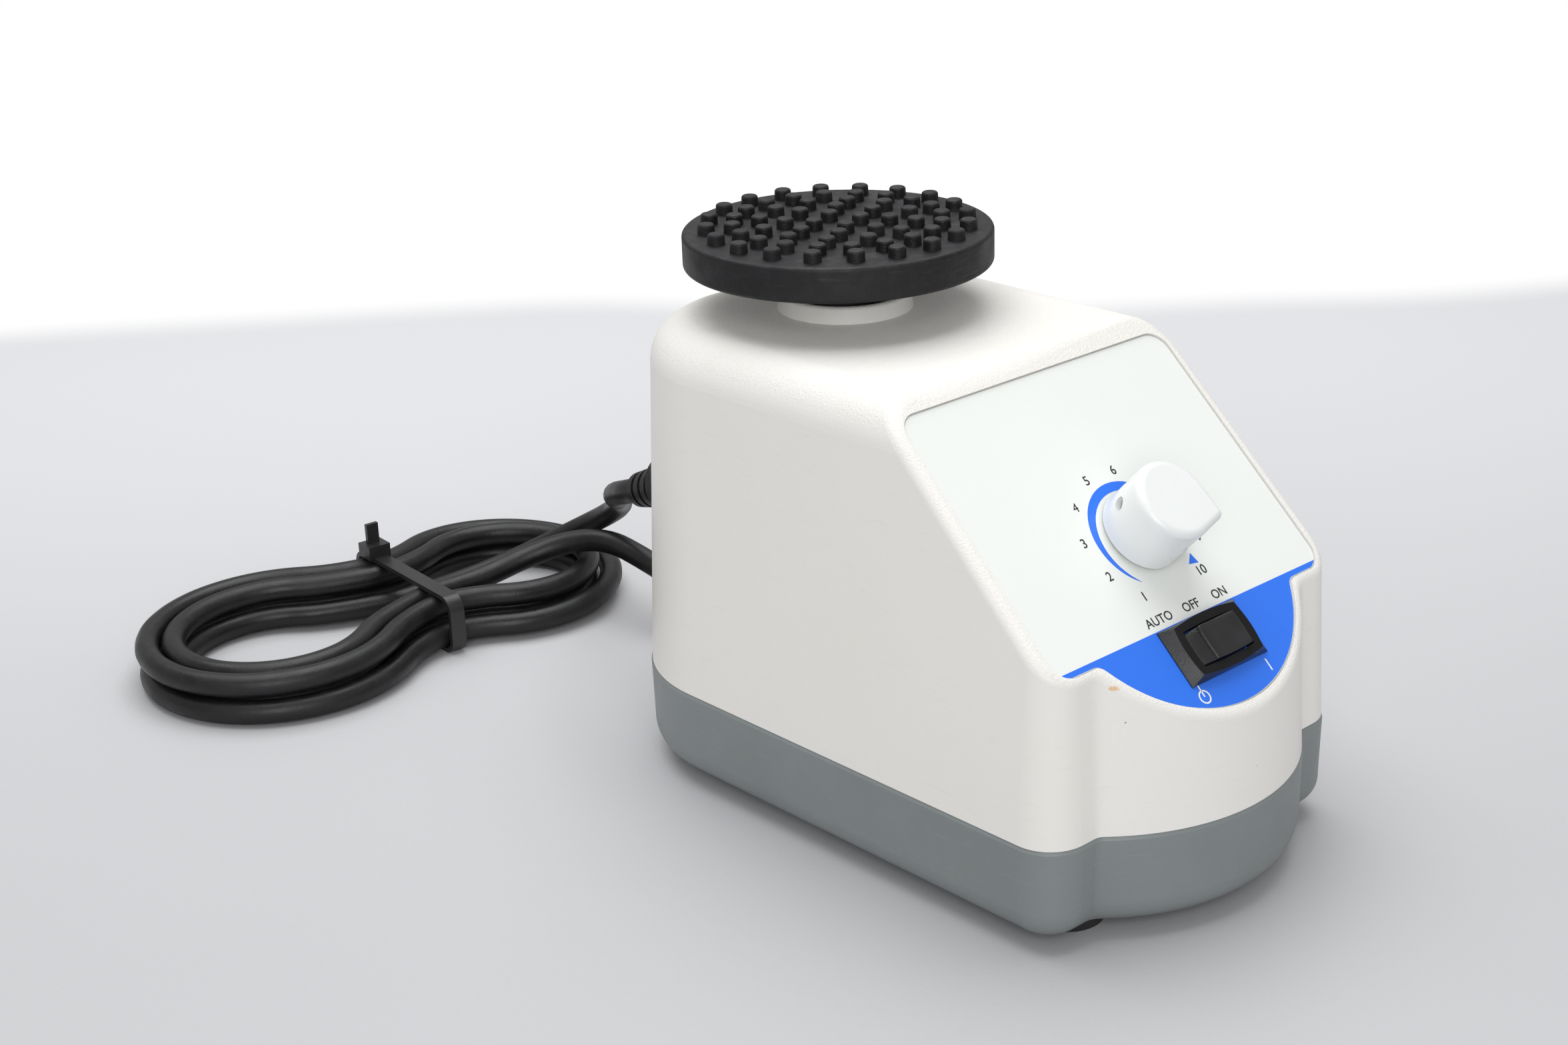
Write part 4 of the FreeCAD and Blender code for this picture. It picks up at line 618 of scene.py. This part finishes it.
class MIXER_OT_case(bpy.types.Operator):
    """Finish the case, its base, feet and screws"""
    bl_idname = "mixer.case"
    bl_label = "Case"

    def execute(self, context):
        settings = context.scene.mixer_case
        dress(case_white(settings), "upper_housing")
        dress(base_grey(settings), "base_pan")
        dress(moulded("foot_rubber"), "rubber_feet")
        dress(metal("zinc_steel"), "foot_screws", "case_screws")
        return {"FINISHED"}


class MIXER_OT_panel(bpy.types.Operator):
    """Finish the panel's film and lay its print on it"""
    bl_idname = "mixer.panel"
    bl_label = "Panel"

    def execute(self, context):
        settings = context.scene.mixer_panel
        dress(panel_film(settings), "panel_overlay")
        ink = settings.ink_height
        blue = moulded("blue_ink", settings.blue)
        black = moulded("black_ink")
        white = moulded("white_ink")
        field = printed_mesh("blue_field", [field_outline()], ink)
        add_piece("blue_field", field, blue, "case")
        wedge = printed_mesh("speed_wedge", [crescent_outline(), MARKER], ink)
        add_piece("speed_wedge", wedge, blue, "case")
        numbers = []
        for i in range(NUMBERS):
            turn = math.radians(NUMBER_FIRST + NUMBER_STEP * i)
            x = NUMBER_RADIUS * math.cos(turn)
            s = DIAL_S + NUMBER_DROP + NUMBER_RADIUS * math.sin(turn)
            numbers.append((str(i + 1), x, s, settings.number_height))
        dial = lettering_mesh("dial_numbers", numbers, ink)
        add_piece("dial_numbers", dial, black, "case")
        words = [(text, x, s, settings.word_height) for text, x, s in SWITCH_WORDS]
        add_piece("switch_words", lettering_mesh("switch_words", words, ink), black, "case")
        signs = ring_outlines(RING_PLACE, RING_RADIUS, RING_LINE)
        top = (RING_PLACE[0], RING_PLACE[1] - RING_RADIUS)
        signs.append(stroke_outline(top, 2.0 * RING_RADIUS, RING_LINE))
        signs.append(stroke_outline(STROKE_PLACE, STROKE_LENGTH, RING_LINE))
        lifted = printed_mesh("switch_signs", signs, 2.0 * ink)
        add_piece("switch_signs", lifted, white, "case")
        return {"FINISHED"}


# Switch, in millimetres on the panel
BEZEL_HALF = (13.25, 7.1)
BEZEL_RIM = (10.4, 6.0)
BEZEL_BULGE = (0.8, 0.9)
BEZEL_HEIGHT = 2.6
MOUTH_HALF = (8.6, 4.45)
MOUTH_BULGE = (0.35, 0.3)
MOUTH_DEPTH = 7.0
BODY_HALF = (11.8, 5.8)
BODY_DEPTH = 18.0
BEZEL_EDGE = 0.35
SKIRT_RING = 3
ROCKER_HALF = (8.2, 4.1)
ROCKER_PROFILE = [(-8.2, 1.5), (-6.6, 2.2), (-4.8, 2.9), (-4.5, 3.65), (-3.4, 3.75), (-1.2, 3.4), (1.4, 3.3),
                  (3.6, 3.5), (5.6, 3.8), (7.2, 4.1)]
ROCKER_FLARE = 1.14
ROCKER_LOW = -2.5
ROCKER_ROUND = 0.35
ROCKER_END_BULGE = 0.3
ROCKER_SIDE_BULGE = 0.25
ROCKER_STEPS = 6
ROUNDED_FROM = math.radians(58.0)
SHARP_FROM = math.radians(35.0)


def barrel_outline(half, bulge, steps=8):
    """Rectangle whose four sides bulge outwards, as (x, s) offsets from the switch's middle."""
    points = []
    corners = [(-1, -1), (1, -1), (1, 1), (-1, 1)]
    for i, (ax, ay) in enumerate(corners):
        bx, by = corners[(i + 1) % 4]
        for k in range(steps):
            along = k / steps
            swell = 4.0 * along * (1.0 - along)
            x = (ax + (bx - ax) * along) * half[0] + (swell * bulge[0] * ax if ax == bx else 0.0)
            s = (ay + (by - ay) * along) * half[1] + (swell * bulge[1] * ay if ay == by else 0.0)
            points.append((x, s))
    return points


def bezel_mesh():
    """Switch bezel and body: sloped skirt, barrel-shaped rim and a deep mouth for the rocker."""
    flat = (0.0, 0.0)
    rings = [(BODY_HALF, flat, -BODY_DEPTH), (BODY_HALF, flat, 0.0), (BEZEL_HALF, flat, 0.0),
             (BEZEL_HALF, flat, BEZEL_EDGE), (BEZEL_RIM, BEZEL_BULGE, BEZEL_HEIGHT),
             (MOUTH_HALF, MOUTH_BULGE, BEZEL_HEIGHT), (MOUTH_HALF, MOUTH_BULGE, BEZEL_HEIGHT - MOUTH_DEPTH)]
    shape = bmesh.new()
    loops = []
    for half, bulge, lift in rings:
        loops.append([shape.verts.new((x * MM, -(SWITCH_S + s) * MM, lift * MM))
                      for x, s in barrel_outline(half, bulge)])
    count = len(loops[0])
    for ring in range(len(loops) - 1):
        lower = loops[ring]
        upper = loops[ring + 1]
        for i in range(count):
            j = (i + 1) % count
            face = shape.faces.new((lower[i], lower[j], upper[j], upper[i]))
            face.material_index = 1 if ring > SKIRT_RING else 0
    shape.faces.new(loops[0])
    shape.faces.new(loops[-1])
    bmesh.ops.recalc_face_normals(shape, faces=shape.faces)
    return panel_mesh("switch_bezel", shape)


def rocker_mesh():
    """Rocker cap: a low face, a step and a long dished face, with rounded edges."""
    steps = ROCKER_STEPS
    shape = bmesh.new()
    tops = []
    for x, lift in ROCKER_PROFILE:
        row = []
        for k in range(steps + 1):
            across = 2.0 * k / steps - 1.0
            swell = 1.0 - (x / ROCKER_HALF[0]) ** 2
            end = 1.0 - across ** 2
            px = x + ROCKER_END_BULGE * end * x / ROCKER_HALF[0]
            ps = across * (ROCKER_HALF[1] + ROCKER_SIDE_BULGE * swell)
            row.append(shape.verts.new((px * MM, -(SWITCH_S + ps) * MM, lift * MM)))
        tops.append(row)
    for near, far in zip(tops, tops[1:]):
        for k in range(steps):
            shape.faces.new((near[k], near[k + 1], far[k + 1], far[k]))
    rim = [row[0] for row in tops] + tops[-1][1:] + [row[-1] for row in reversed(tops[:-1])]
    rim += list(reversed(tops[0][1:-1]))
    foot = []
    for v in rim:
        flare = ROCKER_FLARE if v.co.x > 0.0 else 1.0
        foot.append(shape.verts.new((flare * v.co.x, v.co.y, ROCKER_LOW * MM)))
    for i in range(len(rim)):
        j = (i + 1) % len(rim)
        shape.faces.new((rim[i], rim[j], foot[j], foot[i]))
    shape.faces.new(foot)
    bmesh.ops.recalc_face_normals(shape, faces=shape.faces)
    sharp = [e for e in shape.edges if e.calc_face_angle(0.0) > ROUNDED_FROM]
    bmesh.ops.bevel(shape, geom=sharp, offset=ROCKER_ROUND * MM, segments=3, profile=0.5, affect="EDGES")
    return panel_mesh("rocker_cap", shape)


def panel_mesh(name, shape):
    """Mesh of a shape drawn in the panel's axes, with smooth faces between its sharp edges."""
    mesh = bpy.data.meshes.new(name)
    shape.to_mesh(mesh)
    shape.free()
    mesh.transform(panel_matrix())
    mesh.shade_smooth()
    mesh.set_sharp_from_angle(angle=SHARP_FROM)
    return mesh


class MIXER_OT_controls(bpy.types.Operator):
    """Finish the speed knob, its spindle and the rocker switch"""
    bl_idname = "mixer.controls"
    bl_label = "Controls"

    def execute(self, context):
        dress(moulded("knob_white", Coat_Weight=0.25), "speed_knob")
        black = moulded("switch_black")
        dress(black, "touch_switch")
        bezel = add_piece("switch_bezel", bezel_mesh(), black, "case")
        bezel.data.materials.append(moulded("rim_black", Specular_IOR_Level=0.2))
        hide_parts("switch_frame")
        cap = add_piece("rocker_cap", rocker_mesh(), black, "rocker")
        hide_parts("rocker")
        dress(metal("bright_steel"), "potentiometer", "pot_nut", "pot_shaft", "knob_set_screw", "touch_lever")
        dress(metal("tinned_brass"), "switch_terminals")
        return {"FINISHED"}


class MIXER_OT_head(bpy.types.Operator):
    """Finish the platform, its neck and its bearing"""
    bl_idname = "mixer.head"
    bl_label = "Head"

    def execute(self, context):
        settings = context.scene.mixer_head
        dress(platform_rubber(settings), "platform_pad")
        dress(moulded("neck_black"), "platform_hub")
        dress(metal("cast_plate"), "platform_plate")
        dress(metal("head_steel"), "platform_screw", "head_bearing")
        return {"FINISHED"}


class MIXER_OT_motor(bpy.types.Operator):
    """Finish the pieces inside the case"""
    bl_idname = "mixer.motor"
    bl_label = "Motor"

    def execute(self, context):
        dress(metal("motor_steel"), "guide_posts", "post_nuts", "carriage_springs", "lower_bearing",
              "upper_bearing", "bracket_spacers", "motor_bolts", "motor_shaft", "eccentric",
              "eccentric_screw")
        dress(metal("cast_aluminium"), "lower_bracket", "upper_bracket")
        dress(metal("laminations"), "stator_core", "rotor_core")
        dress(metal("enamelled_copper"), "stator_windings")
        dress(moulded("cast_iron", Metallic=0.6), "counterweight")
        dress(moulded("fan_black"), "cooling_fan", "board_parts")
        dress(moulded("board_green"), "control_board")
        return {"FINISHED"}


def hank_waist_centre():
    """Centre of the hollow arc at the back of the hank's waist."""
    left = HANK_LEFT[0] + HANK_WAIST
    right = HANK_RIGHT[0] + HANK_WAIST
    span = HANK_LEFT[1] + HANK_RIGHT[1]
    x = (left ** 2 - right ** 2 - HANK_LEFT[1] ** 2 + HANK_RIGHT[1] ** 2) / (2.0 * span)
    return x, math.sqrt(left ** 2 - (x + HANK_LEFT[1]) ** 2)


def hank_outline(share, sign):
    """Outermost loop from the waist (share 0) to one end (share 1): place and outward normal."""
    waist_x, waist_y = hank_waist_centre()
    radius = HANK_RIGHT[0] if sign > 0 else HANK_LEFT[0]
    centre_x = HANK_RIGHT[1] if sign > 0 else -HANK_LEFT[1]
    hollow = abs(math.atan2(-waist_y, centre_x - waist_x) + math.pi / 2.0)
    lobe = math.pi / 2.0 + hollow
    split = hollow * HANK_WAIST / (hollow * HANK_WAIST + lobe * radius)
    if share < split:
        angle = -math.pi / 2.0 + sign * hollow * share / split
        normal = (-math.cos(angle), -math.sin(angle))
        return waist_x - HANK_WAIST * normal[0], waist_y - HANK_WAIST * normal[1], normal
    swept = lobe * (1.0 - share) / (1.0 - split)
    normal = (sign * math.cos(swept), math.sin(swept))
    return centre_x + radius * normal[0], radius * normal[1], normal


def hank_point(turns):
    """Middle of the cord in the hank after a number of turns, counted from the back of the waist."""
    half = HANK_TURNS / 2.0
    part_turn = (turns % 1.0) * 4.0
    quarter = min(3, int(part_turn))
    share = part_turn - quarter
    if quarter in (1, 3):
        share = 1.0 - share
    along, aside, normal = hank_outline(share, -1 if quarter < 2 else 1)
    front = -1.0 if quarter in (1, 2) else 1.0
    inward = HANK_STEP * abs(half - turns)
    along -= inward * normal[0]
    aside = front * (aside - inward * normal[1])
    climb = min(1.0, max(0.0, 2.0 * (turns - half) + 0.5))
    climb = climb * climb * (3.0 - 2.0 * climb)
    height = CORD_DIAMETER / 2.0 + HANK_FLOOR_GAP + HANK_LIFT * (1.0 - share) ** 2 + HANK_LAYER * climb
    x = HANK_PLACE[0] + along * math.cos(HANK_TURN) - aside * math.sin(HANK_TURN)
    y = HANK_PLACE[1] + along * math.sin(HANK_TURN) + aside * math.cos(HANK_TURN)
    return Vector((x, y, height))


def hank_direction(turns):
    """Direction of the cord in the hank."""
    nudge = 1e-4
    return (hank_point(turns + nudge) - hank_point(turns - nudge)).normalized()


def cord_route():
    """Control points of the whole cord, from inside the strain relief to the plug, in millimetres."""
    out = Vector((0.0, math.cos(RELIEF_DROP), -math.sin(RELIEF_DROP)))
    start = Vector(RELIEF_POINT)
    first = hank_point(0.0) - hank_direction(0.0) * CORD_DIAMETER
    last = hank_point(HANK_TURNS) + hank_direction(HANK_TURNS) * CORD_DIAMETER
    plug = Vector(PLUG_END)
    route = [start, start + out * RELIEF_OUT, start + out * (RELIEF_OUT + LEAD_STRAIGHT)]
    route += [Vector(p) for p in LEAD_POINTS]
    route += [first - hank_direction(0.0) * LEAD_LAST_RUN, first]
    count = int(HANK_TURNS * HANK_POINTS_PER_TURN)
    route += [hank_point(HANK_TURNS * i / count) for i in range(count + 1)]
    route += [last, last + hank_direction(HANK_TURNS) * TAIL_FIRST_RUN]
    route += [Vector(p) for p in TAIL_POINTS]
    route += [plug - Vector((TAIL_LAST_RUN, 0.0, 0.0)), plug]
    return route


def route_length(curve):
    """Length of a curve's own line."""
    holder = bpy.data.objects.new("measure", curve)
    bpy.context.scene.collection.objects.link(holder)
    depth = curve.bevel_depth
    curve.bevel_depth = 0.0
    depsgraph = bpy.context.evaluated_depsgraph_get()
    line = bpy.data.meshes.new_from_object(holder.evaluated_get(depsgraph))
    places = [v.co for v in line.vertices]
    total = sum((places[e.vertices[0]] - places[e.vertices[1]]).length for e in line.edges)
    curve.bevel_depth = depth
    bpy.data.objects.remove(holder)
    bpy.data.meshes.remove(line)
    return total


class MIXER_OT_cord(bpy.types.Operator):
    """Lay the mains cord, and finish its strain relief, tie and plug"""
    bl_idname = "mixer.cord"
    bl_label = "Mains cord"

    def execute(self, context):
        settings = context.scene.mixer_cord
        jacket = cord_jacket(settings)
        route = cord_route()
        curve = bpy.data.curves.new("mains_cord", "CURVE")
        curve.dimensions = "3D"
        curve.bevel_depth = CORD_DIAMETER / 2.0 * MM
        curve.bevel_resolution = settings.sides
        curve.resolution_u = CURVE_STEPS
        curve.use_fill_caps = True
        spline = curve.splines.new("NURBS")
        spline.points.add(len(route) - 1)
        for control, place in zip(spline.points, route):
            control.co = (*(place * MM), 1.0)
        spline.order_u = 3
        spline.use_endpoint_u = True
        curve.materials.append(jacket)
        length = route_length(curve)
        cord = bpy.data.objects.new("mains_cord", curve)
        context.scene.collection.objects.link(cord)
        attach(cord, "case")
        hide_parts("mains_lead", "lead_hank", "lead_tail")
        dress(jacket, "strain_relief", "plug_body")
        dress(moulded("tie_nylon"), "cable_tie")
        dress(metal("plated_brass"), "plug_pins")
        return {"FINISHED"}


FLOOR_HALF = 3.0
FLOOR_FADE = (1.0, 1.04)
# Painted light: distance from the camera over which the floor's colour is painted brighter, then how much
# brighter
FLOOR_PAINTED_LIGHT_SPAN = (0.45, 0.95)
FLOOR_WAVE = 0.10
FLOOR_PAINTED_LIGHT_GAIN = 1.3
LAMP_BLUE = (0.98, 0.99, 1.0)
KEY_PLACE = (0.10, 0.30, 1.25)
KEY_TARGET = (0.0, 0.02, 0.05)
KEY_SIZE = 1.3
FILL_PLACE = (-0.85, -0.95, 0.62)
FILL_TARGET = (0.0, 0.0, 0.06)
FILL_SIZE = 0.9
WHITE = (1.0, 1.0, 1.0, 1.0)
SENSOR_WIDTH = 36.0


def floor_material(settings):
    """Pale floor with painted light that brightens it further back, going over to white behind the object."""
    material, tree, shader = new_material("floor_pale", 0.55, Specular_IOR_Level=0.3)
    grain = use_group(tree, "grain", {"Fine": 900.0, "Broad": 6.0})
    place = node(tree, "ShaderNodeTexCoord").outputs["Object"]
    axes = node(tree, "ShaderNodeSeparateXYZ", {0: place}).outputs
    base = mix(tree, grain["Tone"], colour(settings.floor), colour(settings.floor, 0.985))
    # Painted light: the floor's colour grows brighter away from the camera, standing in for the lamps' light
    # falling on it
    base = mix(tree, ramp(tree, axes["Y"], *FLOOR_PAINTED_LIGHT_SPAN), base, colour(settings.floor, FLOOR_PAINTED_LIGHT_GAIN))
    tree.links.new(base, shader.inputs["Base Color"])
    bump(tree, shader, grain["Grain"], 0.00005)
    wave = node(tree, "ShaderNodeTexNoise", {"W": axes["X"], "Scale": 3.0, "Detail": 1.0},
                noise_dimensions="1D")
    away = math_node(tree, "ADD", axes["Y"], math_node(tree, "MULTIPLY", wave.outputs[0], FLOOR_WAVE))
    seen = node(tree, "ShaderNodeLightPath").outputs
    white = math_node(tree, "MULTIPLY", ramp(tree, away, *FLOOR_FADE), seen["Is Camera Ray"])
    glow = node(tree, "ShaderNodeEmission", {"Color": WHITE, "Strength": 1.0})
    both = node(tree, "ShaderNodeMixShader", {0: white, 1: shader.outputs[0], 2: glow.outputs[0]})
    output = tree.nodes["Material Output"]
    tree.links.new(both.outputs[0], output.inputs["Surface"])
    return material


def add_lamp(name, place, target, size, power):
    """Soft square lamp that points at a place."""
    lamp = bpy.data.lights.new(name, "AREA")
    lamp.shape = "SQUARE"
    lamp.size = size
    lamp.energy = power
    lamp.color = LAMP_BLUE
    holder = bpy.data.objects.new(name, lamp)
    bpy.context.scene.collection.objects.link(holder)
    aim = Vector(target) - Vector(place)
    holder.matrix_world = Matrix.Translation(place) @ aim.to_track_quat("-Z", "Y").to_matrix().to_4x4()


class MIXER_OT_stage(bpy.types.Operator):
    """Set the floor, the lamps, the sky and the camera"""
    bl_idname = "mixer.stage"
    bl_label = "Stage"

    def execute(self, context):
        settings = context.scene.mixer_stage
        scene = context.scene
        scene.view_settings.view_transform = "Standard"
        self.add_floor(settings)
        add_lamp("key_lamp", KEY_PLACE, KEY_TARGET, KEY_SIZE, settings.key)
        add_lamp("fill_lamp", FILL_PLACE, FILL_TARGET, FILL_SIZE, settings.fill)
        self.add_sky(scene, settings)
        self.add_camera(scene, settings)
        return {"FINISHED"}

    def add_floor(self, settings):
        """Big floor whose far part is white; its own Y axis runs away from the camera."""
        mesh = bpy.data.meshes.new("floor")
        corners = [(-FLOOR_HALF, -FLOOR_HALF, 0.0), (FLOOR_HALF, -FLOOR_HALF, 0.0),
                   (FLOOR_HALF, FLOOR_HALF, 0.0), (-FLOOR_HALF, FLOOR_HALF, 0.0)]
        mesh.from_pydata(corners, [], [(0, 1, 2, 3)])
        mesh.materials.append(floor_material(settings))
        floor = bpy.data.objects.new("floor", mesh)
        bpy.context.scene.collection.objects.link(floor)
        floor.location = (settings.camera[0], settings.camera[1], 0.0)
        floor.rotation_euler = (0.0, 0.0, settings.azimuth)

    def add_sky(self, scene, settings):
        """White to the eye, and a soft light from all round."""
        world = bpy.data.worlds.new("studio")
        scene.world = world
        world.use_nodes = True
        tree = world.node_tree
        seen = node(tree, "ShaderNodeLightPath").outputs
        direct = math_node(tree, "MAXIMUM", seen["Is Camera Ray"], seen["Is Transmission Ray"])
        soft = node(tree, "ShaderNodeBackground", {"Color": WHITE, "Strength": settings.sky})
        white = node(tree, "ShaderNodeBackground", {"Color": WHITE, "Strength": 1.0})
        both = node(tree, "ShaderNodeMixShader", {0: direct, 1: soft.outputs[0], 2: white.outputs[0]})
        tree.links.new(both.outputs[0], tree.nodes["World Output"].inputs["Surface"])

    def add_camera(self, scene, settings):
        """Camera at the photographed angle."""
        data = bpy.data.cameras.new("camera")
        data.sensor_fit = "HORIZONTAL"
        data.sensor_width = SENSOR_WIDTH
        data.lens = settings.lens
        data.clip_start = 0.01
        camera = bpy.data.objects.new("camera", data)
        scene.collection.objects.link(camera)
        turn = Matrix.Rotation(settings.azimuth, 4, "Z")
        tilt = Matrix.Rotation(math.pi / 2.0 - settings.elevation, 4, "X")
        roll = Matrix.Rotation(settings.roll, 4, "Z")
        camera.matrix_world = Matrix.Translation(settings.camera) @ turn @ tilt @ roll
        scene.camera = camera


class MIXER_PT_panel(bpy.types.Panel):
    """Lists the steps that dress the mixer"""
    bl_idname = "MIXER_PT_panel"
    bl_label = "Vortex mixer"
    bl_space_type = "VIEW_3D"
    bl_region_type = "UI"
    bl_category = "Mixer"

    def draw(self, context):
        for operator in OPERATORS:
            self.layout.operator(operator.bl_idname)


SETTINGS = {
    "mixer_case": MixerCaseSettings,
    "mixer_panel": MixerPanelSettings,
    "mixer_head": MixerHeadSettings,
    "mixer_cord": MixerCordSettings,
    "mixer_stage": MixerStageSettings,
}
OPERATORS = (MIXER_OT_cord, MIXER_OT_case, MIXER_OT_panel, MIXER_OT_controls, MIXER_OT_head, MIXER_OT_motor,
             MIXER_OT_stage)


def register():
    """Register the settings, the operators and the panel."""
    for name, kind in SETTINGS.items():
        bpy.utils.register_class(kind)
        setattr(bpy.types.Scene, name, PointerProperty(type=kind))
    for kind in OPERATORS + (MIXER_PT_panel,):
        bpy.utils.register_class(kind)


def unregister():
    """Undo register."""
    for kind in reversed(OPERATORS + (MIXER_PT_panel,)):
        bpy.utils.unregister_class(kind)
    for name, kind in SETTINGS.items():
        delattr(bpy.types.Scene, name)
        bpy.utils.unregister_class(kind)


def main():
    """Dress the mixer."""
    register()
    for operator in OPERATORS:
        group, name = operator.bl_idname.split(".")
        getattr(getattr(bpy.ops, group), name)()
    bpy.context.view_layer.update()


if __name__ == "__main__":
    main()
